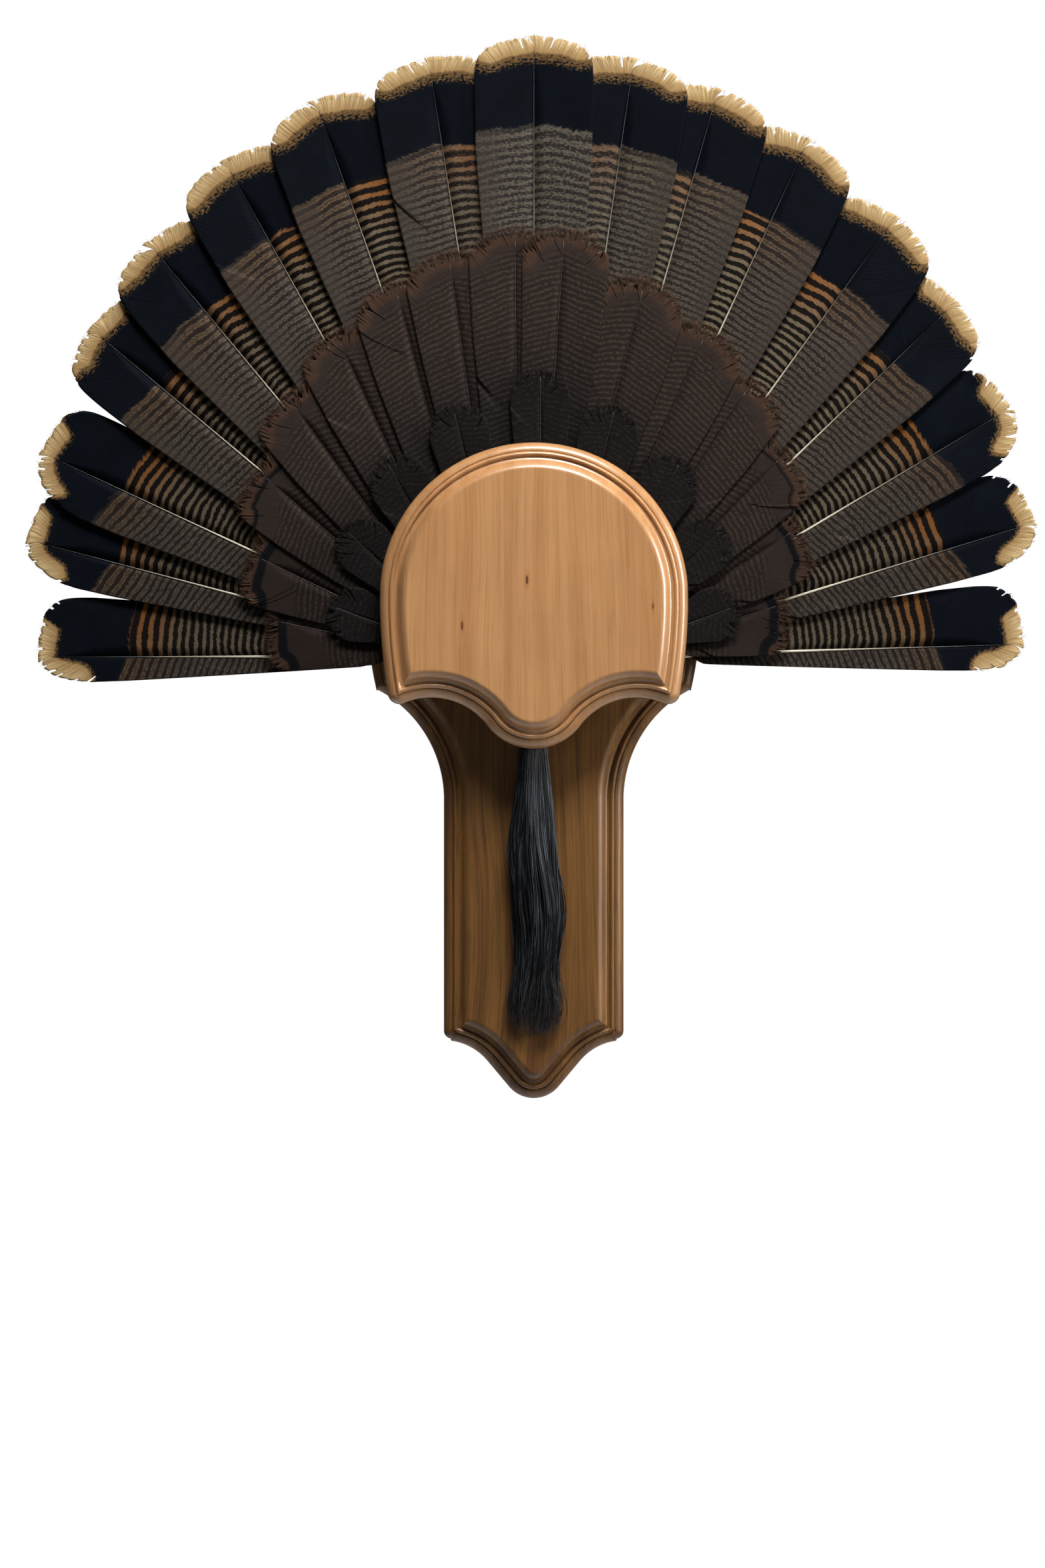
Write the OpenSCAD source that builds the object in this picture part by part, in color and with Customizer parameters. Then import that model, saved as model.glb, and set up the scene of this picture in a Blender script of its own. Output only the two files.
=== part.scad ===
// Turkey tail fan and beard wall mount.
// +Z up, the front faces -Y, the wall is the plane y = 0.
// The origin is on the back panel's back face, behind the centre of the cover plate's round.
// Flat outlines are drawn in x and z; "depth" is the distance from the wall, so y = -depth.

/* [Boards] */
// Thickness of the back panel
panel_t = 19; // [17:1:25]
// Thickness of the cover plate
cover_t = 19; // [15:1:25]
// Space between the two boards, where the tail is clamped
gap_t = 16; // [16:1:20]
// Radius of the cover plate's round
cover_r = 95; // [90:1:98]
// Margin of the panel's hidden head around the cover plate
head_margin = 9.5; // [6:0.5:10]
// Half width of the panel's straight lower part
neck_half = 56; // [54:1:58]
// Height of the lower corners of the straight part
shoulder_z = -269; // [-275:1:-262]
// Width of the routed moulding on both boards
moulding_w = 13; // [10:1:14]

/* [Tail fan] */
// Height of the point that the feathers spread from
fan_z = -36.5; // [-40:0.5:-34]
// Length from the fan's centre to the tip of the lowest feather
reach_low = 303; // [290:1:310]
// Length from the fan's centre to the tip of the middle feather
reach_top = 384; // [370:1:390]
// Half width of a tail feather's vane
tail_half = 37; // [34:1:38]
// Distance between two overlapping tail feathers where they leave the boards
tail_gap = 1.8; // [1.7:0.1:1.9]
// Extra distance between them at the tips
tail_gap_more = 0.9; // [0.5:0.1:1.2]
// How far the tips curve back towards the wall
tip_sweep = 12; // [8:1:14]

/* [Coverts] */
// Half width of a covert feather's vane
covert_half = 29; // [25:1:30]
// Distance between two overlapping covert feathers
covert_gap = 1.2; // [1.1:0.05:1.25]

/* [Beard] */
// Height of the screw that the beard hangs on
beard_z = -70; // [-72:1:-68]
// Height of the bristles' lowest ends
beard_end_z = -271; // [-280:1:-265]
// Depth of the beard from back to front at its fullest
beard_depth = 17; // [14:1:18]

/* [Hanger] */
// Height of the ring's hinge line
ring_z = 52; // [50:1:54]
// Half width of the ring, to the middle of its wire
ring_half = 8; // [8:0.5:9]
// Radius of the ring's wire
wire_r = 1.2; // [1:0.1:1.3]
// Lean of the resting ring towards the board, in degrees
ring_lean = 4; // [3:0.5:5]

/* [Hidden] */
BOARD_HARDWARE = ["back_panel", "cover_plate", "left_spacer", "right_spacer", "cover_screws"];
TAIL_HARDWARE = ["tail_butt", "butt_screws"];
HANGER = ["hanger_strap", "hanger_ring", "hanger_screws"];
BEARD = ["beard", "beard_butt", "beard_screw", "beard_washers"];
TAIL_NAMES = [
    for (i = [1 : 8]) str("tail_feather_l", i),
    "tail_feather_centre",
    for (i = [8 : -1 : 1]) str("tail_feather_r", i)
];
COVERT_NAMES = [
    for (i = [1 : 8]) str("covert_l", i),
    "covert_centre",
    for (i = [6 : -1 : 1]) str("covert_r", i)
];
INNER_NAMES = [for (i = [1 : 9]) str("inner_covert_", i)];

$fn = 48;
round_steps = 36;
panel_front = panel_t;
cover_back = panel_t + gap_t;
fan_centre = [0, fan_z];
clearance = 0.05;

// ---- plain geometry ----

// Points on a round stretch of an outline, from angle a0 to angle a1.
function arc(centre, r, a0, a1, steps) =
    [for (i = [0 : steps]) centre + polar(r, a0 + (a1 - a0) * i / steps)];

function polar(r, a) = r * [cos(a), sin(a)];
function unit(v) = v / norm(v);
function clamp01(t) = min(1, max(0, t));
function flipped(points) = [for (i = [len(points) - 1 : -1 : 0]) [-points[i].x, points[i].y]];

// Turns an outline drawn in x and z into a board between two depths.
module board(from, to) {
    rotate([90, 0, 0])
        translate([0, 0, from])
            linear_extrude(height = to - from)
                children();
}

// A pin or a hole square to the wall, at [x, z], between two depths.
module pin_at(at, r, from, to) {
    translate([at.x, -from, at.y])
        rotate([90, 0, 0])
            cylinder(r = r, h = to - from);
}

// A cone square to the wall, from radius r1 at depth from to r2 at depth to.
module cone_at(at, r1, r2, from, to) {
    translate([at.x, -from, at.y])
        rotate([90, 0, 0])
            cylinder(r1 = r1, r2 = r2, h = to - from);
}

// ---- the two boards ----

// Right half of the cover plate, from the top down: the round, a slightly tapered side,
// a rounded corner, a hollow, and half of the lobe at the bottom.
side_r = 350;
corner_r = 7;
corner_c = [cover_r - 12, -59];
hollow_c = [cover_r - 31.5, -106];
hollow_r = 44;
lobe_c = [0, -57.5];
lobe_r = 36;
hollow_a = atan2(lobe_c.y - hollow_c.y, lobe_c.x - hollow_c.x);
hollow_a0 = atan2(corner_c.y - hollow_c.y, corner_c.x - hollow_c.x);
cover_half_points = concat(
    arc([0, 0], cover_r, 90, 4, round_steps),
    arc([cover_r - side_r, 0], side_r, -1, -9, 6),
    arc(corner_c, corner_r, -20, hollow_a0 - 180, 8),
    arc(hollow_c, hollow_r, hollow_a0 + 3, hollow_a - 2, 14),
    arc(lobe_c, lobe_r, hollow_a - 180, -88, 12)
);
cover_points = concat(cover_half_points, [[0, lobe_c.y - lobe_r]], flipped(cover_half_points));

// Right half of the back panel: a hidden round head, a hollow neck, a straight side,
// a rounded shoulder, a hollow, and half of the pointed foot.
head_r = cover_r + head_margin;
head_side_r = 253;
neck_r = 77.6;
neck_c = [neck_half + neck_r, -125];
neck_a = 180 - asin(68.5 / neck_r);
shoulder_r = 5;
foot_c = [0, -291];
foot_r = 20;
foot_a = -40;
foot_straight = 21;
foot_hollow_r = 36;
foot_hollow_c = foot_c + polar(foot_r + foot_hollow_r, foot_a) + polar(foot_straight, foot_a + 90);
panel_half_points = concat(
    arc([0, 0], head_r, 90, 3, round_steps),
    arc([head_r - head_side_r, 0], head_side_r, -1, -13, 8),
    arc(neck_c, neck_r, neck_a, 179, 20),
    arc([neck_half - shoulder_r, shoulder_z], shoulder_r, 0, -80, 6),
    arc(foot_hollow_c, foot_hollow_r, 98, 180 + foot_a, 10),
    arc(foot_c, foot_r, foot_a, -88, 10)
);
panel_points = concat(panel_half_points, [[0, foot_c.y - foot_r]], flipped(panel_half_points));

// A board with its routed edge as three steps.
module stepped_board(points, from, thick) {
    board(from, from + thick * 0.6)
        polygon(points);
    board(from + thick * 0.6 - 0.5, from + thick * 0.8)
        offset(delta = -moulding_w * 0.4)
            polygon(points);
    board(from + thick * 0.8 - 0.5, from + thick)
        offset(delta = -moulding_w)
            polygon(points);
}

// Places of the screws that hold the boards together, and of the others.
spacer_at = [45, -56.5];
spacer_r = 7.5;
cover_screw_at = [spacer_at, [-spacer_at.x, spacer_at.y], [0, fan_z - 1.5]];
butt_screw_at = [[26, fan_z - 3.5], [-26, fan_z - 3.5]];
beard_at = [1, beard_z];

cover_screw_r = 2;
cover_screw_head_r = 4;
cover_screw_head_t = 2.4;
cover_screw_sink = 0.6;
cover_screw_end = cover_back + 11;

// Routed pocket that lets the hanger lie flush in the panel's back.
pocket_depth = 8;
pocket_half = 15;
pocket_low = ring_z - 32;
pocket_high = ring_z + 22;
pocket_corner = 6;

module pocket_outline() {
    wide = pocket_half - pocket_corner;
    low = pocket_low + pocket_corner;
    high = pocket_high - pocket_corner;
    polygon(concat(
        arc([wide, high], pocket_corner, 90, 0, 8),
        arc([wide, low], pocket_corner, 0, -90, 8),
        arc([-wide, low], pocket_corner, -90, -180, 8),
        arc([-wide, high], pocket_corner, 180, 90, 8)
    ));
}

module back_panel() {
    color([0.42, 0.28, 0.16])
        difference() {
            stepped_board(panel_points, 0, panel_t);
            board(-1, pocket_depth)
                pocket_outline();
            for (at = cover_screw_at) {
                pin_at(at, cover_screw_r + 0.2, -1, panel_t + 1);
                cone_at(at, cover_screw_head_r + 0.5, cover_screw_r + 0.2,
                    cover_screw_sink - 0.3, cover_screw_sink + cover_screw_head_t);
                pin_at(at, cover_screw_head_r + 0.5, -1, cover_screw_sink - 0.3);
            }
            for (at = butt_screw_at)
                pin_at(at, butt_screw_r + clearance, panel_t - butt_screw_bite, panel_t + 1);
            for (at = hanger_screw_at)
                pin_at(at, hanger_screw_r + clearance, pocket_depth - 1, hanger_screw_end);
            pin_at(beard_at, beard_screw_r + clearance, panel_t - beard_screw_bite, panel_t + 1);
        }
}

module cover_plate() {
    color([0.77, 0.55, 0.34])
        difference() {
            stepped_board(cover_points, cover_back, cover_t);
            for (at = cover_screw_at)
                pin_at(at, cover_screw_r + clearance, cover_back - 1, cover_screw_end + 0.5);
        }
}

module spacer(side) {
    at = [side * spacer_at.x, spacer_at.y];
    color([0.72, 0.58, 0.40])
        difference() {
            pin_at(at, spacer_r, panel_front, cover_back);
            pin_at(at, cover_screw_r + 0.2, panel_front - 1, cover_back + 1);
        }
}

// A cross recess in a screw's head, square to the wall.
module cross_recess(at, r, from, to) {
    for (turn = [0, 90])
        translate([at.x, -(from + to) / 2, at.y])
            rotate([0, 45 + turn, 0])
                cube([2 * r, to - from, 0.7], center = true);
}

// Countersunk screws from the panel's back, through the gap and into the cover plate.
module cover_screws() {
    color([0.72, 0.70, 0.62])
        for (at = cover_screw_at)
            difference() {
                union() {
                    cone_at(at, cover_screw_head_r, cover_screw_r,
                        cover_screw_sink, cover_screw_sink + cover_screw_head_t);
                    pin_at(at, cover_screw_r, cover_screw_sink + 1, cover_screw_end - 3);
                    cone_at(at, cover_screw_r, 0.4, cover_screw_end - 3, cover_screw_end);
                }
                cross_recess(at, 2.2, cover_screw_sink - 1, cover_screw_sink + 1.2);
            }
}

// ---- the butt of the tail ----

butt_half = 78;
butt_rise = 50;
butt_low = fan_z - 9.5;
butt_screw_r = 2;
butt_screw_bite = 12;
butt_head_r = 4;
butt_head_t = 2.5;
butt_recess = 3.5;
quill_room = 1.1;

// The dried base of the tail, filled and hardened into one block, with a socket for every quill.
module tail_butt() {
    outline = concat(
        [for (i = [0 : 40]) [butt_half * cos(4.5 * i), butt_low + 6 + butt_rise * sin(4.5 * i)]],
        arc([-butt_half + 6, butt_low + 6], 6, 180, 270, 5),
        arc([butt_half - 6, butt_low + 6], 6, 270, 360, 5)
    );
    color([0.36, 0.27, 0.20])
        difference() {
            board(panel_front, cover_back)
                polygon(outline);
            for (set = [tail_set, under_set, covert_set, inner_set])
                for (line = set_lines(set))
                    quill_socket(line, set_quill(set) * quill_room, quill_depth(line[0], set));
            pin_at(cover_screw_at[2], cover_screw_r + 0.2, panel_front - 1, cover_back + 1);
            for (at = butt_screw_at) {
                pin_at(at, butt_screw_r + 0.2, panel_front - 1, cover_back + 1);
                pin_at(at, butt_head_r + 0.3, cover_back - butt_recess, cover_back + 1);
            }
        }
}

// A round hole along a feather's quill, from just inside its base to outside the block.
module quill_socket(line, r, depth) {
    along = line[1] - line[0];
    translate([line[0].x, -depth, line[0].y])
        rotate([0, 90 - atan2(along.y, along.x), 0])
            translate([0, 0, -0.3])
                cylinder(r = r, h = 80);
}

// Pan-head screws that hold the butt on the panel.
module butt_screws() {
    head = cover_back - butt_recess;
    color([0.62, 0.62, 0.60])
        for (at = butt_screw_at)
            difference() {
                union() {
                    pin_at(at, butt_head_r, head, head + butt_head_t);
                    pin_at(at, butt_screw_r, panel_t - butt_screw_bite + 0.5, head + 1);
                }
                cross_recess(at, 2.2, head + butt_head_t - 1.2, head + butt_head_t + 1);
            }
}

// ---- feathers ----

// A set of feathers is [lines, index of its uppermost feather, kind]. Lines run from quill base
// to tip, ordered from the lowest left feather over the top to the lowest right one.
TAIL = 0;
COVERT = 1;
INNER = 2;
UNDER = 3;

function set_lines(set) = set[0];
function set_top(set) = set[1];
function set_kind(set) = set[2];
function set_quill(set) = [1.7, 0.8, 0.6, 1.7][set_kind(set)];

// Half of the feathers of a set from the lowest up, on the side given by -1 or 1. Quill bases lie
// on a half ellipse, and tips at the given angles above the horizontal through the fan's centre.
function half_fan(side, tips, top_count, base, low, high, bend = 1) = [
    for (i = [0 : len(tips) - 1])
        let (
            turn = 90 * (i + 1) / (top_count + 1),
            foot = [side * base.x * cos(turn), fan_z - 3.5 + base.y * sin(turn)],
            reach = low + (high - low) * pow(max(0, tips[i]) / 90, bend),
            end = polar(reach, tips[i])
        )
        [foot, fan_centre + [side * end.x, end.y]]
];
function backwards(list) = [for (i = [len(list) - 1 : -1 : 0]) list[i]];
function upright(x, base_y, reach) = [[x, fan_z - 3.5 + base_y], [x, fan_z + reach]];

// Angles of the feather tips on each side, lowest first.
left_tips = [0, 13, 22.5, 36.5, 47, 58, 68.5, 80];
right_tips = [1.5, 15, 27.5, 40, 50.5, 62, 72, 80.5];
left_covert_tips = [8, 20, 34, 46.5, 58.5, 69.5, 78, 87.5];
right_covert_tips = [12, 26, 39, 51.5, 62, 73.5];
covert_lean = 19;
tail_base = [58, 22];
covert_base = [62, 30];
inner_base = [66, 38];

tail_set = [concat(
    half_fan(-1, left_tips, 8, tail_base, reach_low, reach_top),
    [upright(0, tail_base.y, reach_top)],
    backwards(half_fan(1, right_tips, 8, tail_base, reach_low, reach_top))
), 8, TAIL];
under_set = [[upright(0, tail_base.y, reach_top - 12)], 0, UNDER];
covert_set = [concat(
    half_fan(-1, left_covert_tips, 8, covert_base, 140, 266, 0.68),
    [[[2, fan_z - 3.5 + covert_base.y], [covert_lean, fan_z + 263]]],
    backwards(half_fan(1, right_covert_tips, 6, covert_base, 130, 260, 0.75))
), 8, COVERT];
inner_tips = [14, 34, 53, 72];
inner_set = [concat(
    half_fan(-1, inner_tips, 4, inner_base, 122, 172),
    [upright(4, inner_base.y, 176)],
    backwards(half_fan(1, inner_tips, 4, inner_base, 122, 172))
), 4, INNER];

// Distance of a point from a line, positive on the clockwise side.
function beside(p, line) =
    let (along = unit(line[1] - line[0]), from = p - line[0])
    from.x * along.y - from.y * along.x;

// Place of a point in the order of the feathers: 3.5 is halfway between lines 3 and 4.
function place_of(p, lines) =
    let (
        last = len(lines) - 1,
        aside = [for (line = lines) beside(p, line)],
        under = [for (i = [0 : last]) if (aside[i] < 0) i],
        over = [for (i = [0 : last]) if (aside[i] >= 0) i],
        next = p.x < 0
            ? (len(under) > 0 ? under[0] : last + 1)
            : (len(over) > 0 ? over[len(over) - 1] + 1 : 0),
        a = max(0, min(last - 1, next - 1))
    )
    last == 0 ? 0 : a + aside[a] / (aside[a] - aside[a + 1]);

// Depth of the whole fan's middle surface, which curves back towards the wall at the tips.
sweep_from = 90;
sweep_span = reach_top - sweep_from;
fan_depth = panel_front + 6;
function outward(p) = clamp01((norm(p - fan_centre) - sweep_from) / sweep_span);
function fan_surface(p) = fan_depth - tip_sweep * pow(outward(p), 2);
function tail_gap_at(p) = tail_gap + tail_gap_more * outward(p);

// How far a set stands in front of the fan's middle surface.
reach_over = 0.88;
function covert_lift(p) = reach_over * (tail_gap_at(p) + covert_gap) + 0.8;
function lift_at(p, kind) =
    kind == UNDER ? -3.9
    : kind == COVERT ? covert_lift(p)
    : kind == INNER ? covert_lift(p) + 2 * reach_over * covert_gap + 0.7
    : 0;
function gap_at(p, kind) = kind == TAIL ? tail_gap_at(p) : kind == UNDER ? 0 : covert_gap;
function quill_depth(p, set) = fan_surface(p) + lift_at(p, set_kind(set));

// Depth of feather k's vane at a point. The uppermost feather lies in front, and each of the
// others passes behind its upper neighbour, so no two of them meet.
function vane_depth(p, set, k) =
    let (place = place_of(p, set_lines(set)), top = set_top(set))
    fan_surface(p) + lift_at(p, set_kind(set))
        + gap_at(p, set_kind(set)) * (abs(place - top) - abs(k - top));

// Half width of a free vane at distance s along a feather of a given length.
function vane_half(s, length, full, bare, rounding) =
    let (
        grown = pow(clamp01((s - bare) / (0.84 * length - bare)), 0.9),
        ended = clamp01((s - length + rounding) / rounding)
    )
    full * (0.36 + 0.64 * grown) * clamp01((s - bare) / 9) * max(0.34, pow(1 - pow(ended, 2.4), 0.42));

// Room beside a shaft before the next shaft.
function room(distance) = max(0.1, min(0.86 * distance, distance - 2.6));

// The eight corners of a feather's section: a ridge for the shaft and a thin vane on each side.
function section(set, k, s) =
    let (
        kind = set_kind(set),
        lines = set_lines(set),
        line = lines[k],
        length = norm(line[1] - line[0]),
        along = unit(line[1] - line[0]),
        aside = [along.y, -along.x],
        p = line[0] + s * along,
        full = [tail_half, covert_half, 19, tail_half * 0.7][kind],
        bare = [38, 24, 16, 38][kind],
        rounding = [30, 17, 14, 30][kind],
        outer = kind == TAIL ? min(1, 0.42 + 0.16 * min(k, len(lines) - 1 - k)) : 1,
        quill = set_quill(set) * clamp01(0.6 + 0.4 * s / 12),
        in_vane = clamp01((s - bare) / 12),
        shaft = quill * (1 - in_vane) + in_vane * set_quill(set) * (0.55 - 0.25 * s / length),
        natural = vane_half(s, length, full, bare, rounding),
        before = k > 0 ? room(beside(p, lines[k - 1])) : natural,
        after = k < len(lines) - 1 ? room(-beside(p, lines[k + 1])) : natural,
        low_side = k < set_top(set) ? outer : 1,
        high_side = k > set_top(set) ? outer : 1,
        left = max(shaft, min(natural * low_side, before)),
        right = max(shaft, min(natural * high_side, after)),
        edge = in_vane > 0 ? max(shaft * 0.41 * (1 - in_vane), kind == TAIL || kind == UNDER ? 0.25 : 0.15)
            : shaft * 0.41,
        ridge = shaft * 0.41,
        middle = fan_surface(p) + lift_at(p, kind),
        depth_l = in_vane > 0 ? vane_depth(p - left * aside, set, k) : middle,
        depth_r = in_vane > 0 ? vane_depth(p + right * aside, set, k) : middle
    )
    [
        for (corner = [
            [-left, depth_l + edge], [-ridge, middle + shaft], [ridge, middle + shaft], [right, depth_r + edge],
            [right, depth_r - edge], [ridge, middle - shaft], [-ridge, middle - shaft], [-left, depth_l - edge]
        ])
        let (q = p + corner[0] * aside)
        [q.x, -corner[1], q.y]
    ];

// Stations along a feather: close together at the quill, where the vane begins, and at the tip.
function stations(length, kind) =
    let (
        bare = kind == TAIL || kind == UNDER ? 38 : kind == COVERT ? 24 : 16,
        steps = kind == TAIL || kind == UNDER ? 7 : 4,
        rounding = kind == TAIL || kind == UNDER ? 30 : 17,
        start = bare + 22,
        end = length - rounding
    )
    concat(
        [0, 0.4 * bare, bare, bare + 4, bare + 9],
        [for (i = [0 : steps]) start + (end - start) * i / steps],
        [for (part = [0.4, 0.7, 0.9, 1]) end + rounding * part]
    );

// A closed skin over a row of sections with the same number of corners.
module skin(sections) {
    count = len(sections[0]);
    last = len(sections) - 1;
    polyhedron(
        points = [for (ring = sections) for (point = ring) point],
        faces = concat(
            [for (j = [1 : count - 2]) [0, j + 1, j]],
            [for (i = [0 : last - 1]) for (j = [0 : count - 1])
                let (a = i * count + j, b = i * count + (j + 1) % count)
                    [a, b, b + count]],
            [for (i = [0 : last - 1]) for (j = [0 : count - 1])
                let (a = i * count + j, b = i * count + (j + 1) % count)
                    [a, b + count, a + count]],
            [for (j = [1 : count - 2]) [last * count, last * count + j, last * count + j + 1]]
        )
    );
}

module feather(set, k) {
    line = set_lines(set)[k];
    length = norm(line[1] - line[0]);
    skin([for (s = stations(length, set_kind(set))) section(set, k, s)]);
}

module tail_feather(k) {
    color([0.20, 0.15, 0.10])
        feather(tail_set, k);
}

module tail_feather_under() {
    color([0.20, 0.16, 0.12])
        feather(under_set, 0);
}

module covert(k) {
    color([0.26, 0.18, 0.14])
        feather(covert_set, k);
}

module inner_covert(k) {
    color([0.14, 0.11, 0.10])
        feather(inner_set, k);
}

// ---- the beard ----

beard_screw_r = 2;
beard_screw_bite = 11;
knot_back = panel_front + 0.9;
knot_t = 9;
knot_r = 8.5;
knot_low = beard_z - 11;
washer_t = 0.6;

// Left and right edges of the bristles against height.
beard_left = [[-81, -5], [-93, -9], [-121, -12], [-159, -17], [-193, -15], [-215, -12], [-253, -13], [-271, -7]];
beard_right = [[-81, 7], [-93, 8], [-121, 11], [-159, 15], [-193, 22], [-215, 19], [-253, 16], [-271, 8]];
beard_rings = 13;

// The bristles as one closed solid, flat behind where they lie along the panel.
module beard() {
    color([0.07, 0.08, 0.10])
        skin([
            for (i = [0 : beard_rings])
                let (
                    z = knot_low + (beard_end_z - knot_low) * i / beard_rings,
                    left = lookup(z, beard_left),
                    right = lookup(z, beard_right),
                    swell = sin(180 * pow(i / beard_rings, 0.75)),
                    half = 4 + (beard_depth / 2 - 4) * swell,
                    middle = panel_front + 0.8 + half
                )
                [for (turn = [0 : 30 : 330])
                    [(left + right) / 2 - (right - left) / 2 * cos(turn), -(middle + half * sin(turn)), z]]
        ]);
}

// The dried knot of skin that the bristles grow from, pierced for its screw.
module beard_butt() {
    color([0.28, 0.20, 0.15])
        difference() {
            hull() {
                pin_at(beard_at, knot_r, knot_back, knot_back + knot_t, $fn = 32);
                pin_at([beard_at.x, knot_low + 6], 6, knot_back + 0.5, knot_back + knot_t - 1);
                translate([beard_at.x, -(knot_back + knot_t / 2), knot_low])
                    cylinder(r = 4, h = 2);
            }
            pin_at(beard_at, beard_screw_r + 0.06, knot_back - 1, knot_back + knot_t + 1);
        }
}

knot_front = knot_back + knot_t;
head_from = knot_front + 0.3 + washer_t;

module beard_screw() {
    color([0.62, 0.62, 0.60])
        difference() {
            union() {
                pin_at(beard_at, 4, head_from, head_from + 2.4);
                pin_at(beard_at, beard_screw_r, panel_front - beard_screw_bite + 0.5, head_from + 1);
            }
            cross_recess(beard_at, 2.2, head_from + 1.2, head_from + 4);
        }
}

// A washer on each side of the knot.
module beard_washers() {
    color([0.66, 0.66, 0.64])
        for (from = [panel_front, head_from - washer_t])
            difference() {
                pin_at(beard_at, 5, from, from + washer_t);
                pin_at(beard_at, beard_screw_r + 0.15, from - 1, from + washer_t + 1);
            }
}

// ---- the hanger in the panel's back ----

strap_t = 1.2;
strap_half = 6;
knuckle_r = 2.6;
knuckle_half = 5;
strap_low = ring_z - 27;
hinge_depth = pocket_depth - knuckle_r;
ring_leg = 5;
hanger_screw_r = 1.75;
hanger_screw_end = 17;
hanger_screw_at = [[0, ring_z - 9], [0, ring_z - 21]];

// The strap: a knuckle round the ring's straight side, and a flat tail with two holes.
module hanger_strap() {
    color([0.78, 0.66, 0.36])
        difference() {
            union() {
                translate([-knuckle_half, -hinge_depth, ring_z])
                    rotate([0, 90, 0])
                        cylinder(r = knuckle_r, h = 2 * knuckle_half);
                board(pocket_depth - strap_t, pocket_depth)
                    polygon(concat(
                        [[knuckle_half, ring_z], [strap_half, ring_z - 4]],
                        arc([0, strap_low + strap_half], strap_half, 0, -180, 16),
                        [[-strap_half, ring_z - 4], [-knuckle_half, ring_z]]
                    ));
            }
            translate([-knuckle_half - 1, -hinge_depth, ring_z])
                rotate([0, 90, 0])
                    cylinder(r = wire_r + 0.08, h = 2 * knuckle_half + 2);
            for (at = hanger_screw_at)
                pin_at(at, hanger_screw_r + 0.15, pocket_depth - strap_t - 1, pocket_depth + 1);
        }
}

// The D-shaped ring, with its straight side in the knuckle.
module hanger_ring() {
    color([0.80, 0.68, 0.38])
        translate([0, -hinge_depth, ring_z])
            rotate([ring_lean, 0, 0]) {
                translate([-ring_half, 0, 0])
                    rotate([0, 90, 0])
                        cylinder(r = wire_r, h = 2 * ring_half);
                for (side = [-1, 1])
                    translate([side * ring_half, 0, 0]) {
                        sphere(r = wire_r);
                        cylinder(r = wire_r, h = ring_leg);
                    }
                translate([0, 0, ring_leg])
                    rotate([90, 0, 0])
                        rotate_extrude(angle = 180)
                            translate([ring_half, 0])
                                circle(r = wire_r);
            }
}

module hanger_screws() {
    head = pocket_depth - strap_t;
    color([0.74, 0.64, 0.38])
        for (at = hanger_screw_at)
            difference() {
                union() {
                    pin_at(at, 3.4, head - 1.8, head);
                    pin_at(at, hanger_screw_r, head - 1, hanger_screw_end - 0.5);
                }
                cross_recess(at, 2, head - 3, head - 0.9);
            }
}

back_panel();
cover_plate();
spacer(-1);  // left_spacer
spacer(1);  // right_spacer
cover_screws();
tail_butt();
butt_screws();
hanger_strap();
hanger_ring();
hanger_screws();
beard();
beard_butt();
beard_screw();
beard_washers();
for (k = [0 : len(TAIL_NAMES) - 1])
    tail_feather(k);
tail_feather_under();
for (k = [0 : len(COVERT_NAMES) - 1])
    covert(k);
for (k = [0 : len(INNER_NAMES) - 1])
    inner_covert(k);
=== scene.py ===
"""Turkey tail fan and beard wall mount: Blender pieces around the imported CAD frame.

Lengths inside the mesh code are in millimetres, and every mesh is scaled to metres when it is built.
"""

import math

import bmesh
import bpy
import numpy as np
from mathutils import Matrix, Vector, noise


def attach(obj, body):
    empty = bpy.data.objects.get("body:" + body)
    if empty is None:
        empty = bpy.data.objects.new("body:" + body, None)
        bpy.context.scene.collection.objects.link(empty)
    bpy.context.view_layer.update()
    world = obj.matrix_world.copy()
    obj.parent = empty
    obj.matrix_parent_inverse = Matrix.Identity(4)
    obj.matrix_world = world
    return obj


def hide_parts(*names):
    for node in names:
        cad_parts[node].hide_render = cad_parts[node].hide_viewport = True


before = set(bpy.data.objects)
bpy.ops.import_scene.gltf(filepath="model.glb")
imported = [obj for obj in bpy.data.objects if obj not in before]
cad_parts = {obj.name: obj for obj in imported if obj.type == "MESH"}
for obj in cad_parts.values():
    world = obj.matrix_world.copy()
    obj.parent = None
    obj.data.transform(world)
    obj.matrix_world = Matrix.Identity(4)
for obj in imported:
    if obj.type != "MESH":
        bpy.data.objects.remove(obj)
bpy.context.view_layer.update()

MM = 0.001
FAN_CENTRE = np.array([0.0, -36.5])


# ---------------------------------------------------------------- node graphs

def srgb(red, green, blue):
    """An 8-bit sRGB colour as the linear RGBA that a node socket takes."""
    values = [c / 255 for c in (red, green, blue)]
    linear = [c / 12.92 if c <= 0.04045 else ((c + 0.055) / 1.055) ** 2.4 for c in values]
    return (*linear, 1.0)


class Value:
    """A node's output that takes arithmetic. Each operation adds a math node."""

    def __init__(self, graph, socket):
        self.graph, self.socket = graph, socket

    def __add__(self, other):
        return self.graph.math("ADD", self, other)

    def __sub__(self, other):
        return self.graph.math("SUBTRACT", self, other)

    def __rsub__(self, other):
        return self.graph.math("SUBTRACT", other, self)

    def __mul__(self, other):
        return self.graph.math("MULTIPLY", self, other)

    def __truediv__(self, other):
        return self.graph.math("DIVIDE", self, other)

    def __abs__(self):
        return self.graph.math("ABSOLUTE", self)

    __radd__, __rmul__ = __add__, __mul__


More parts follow.
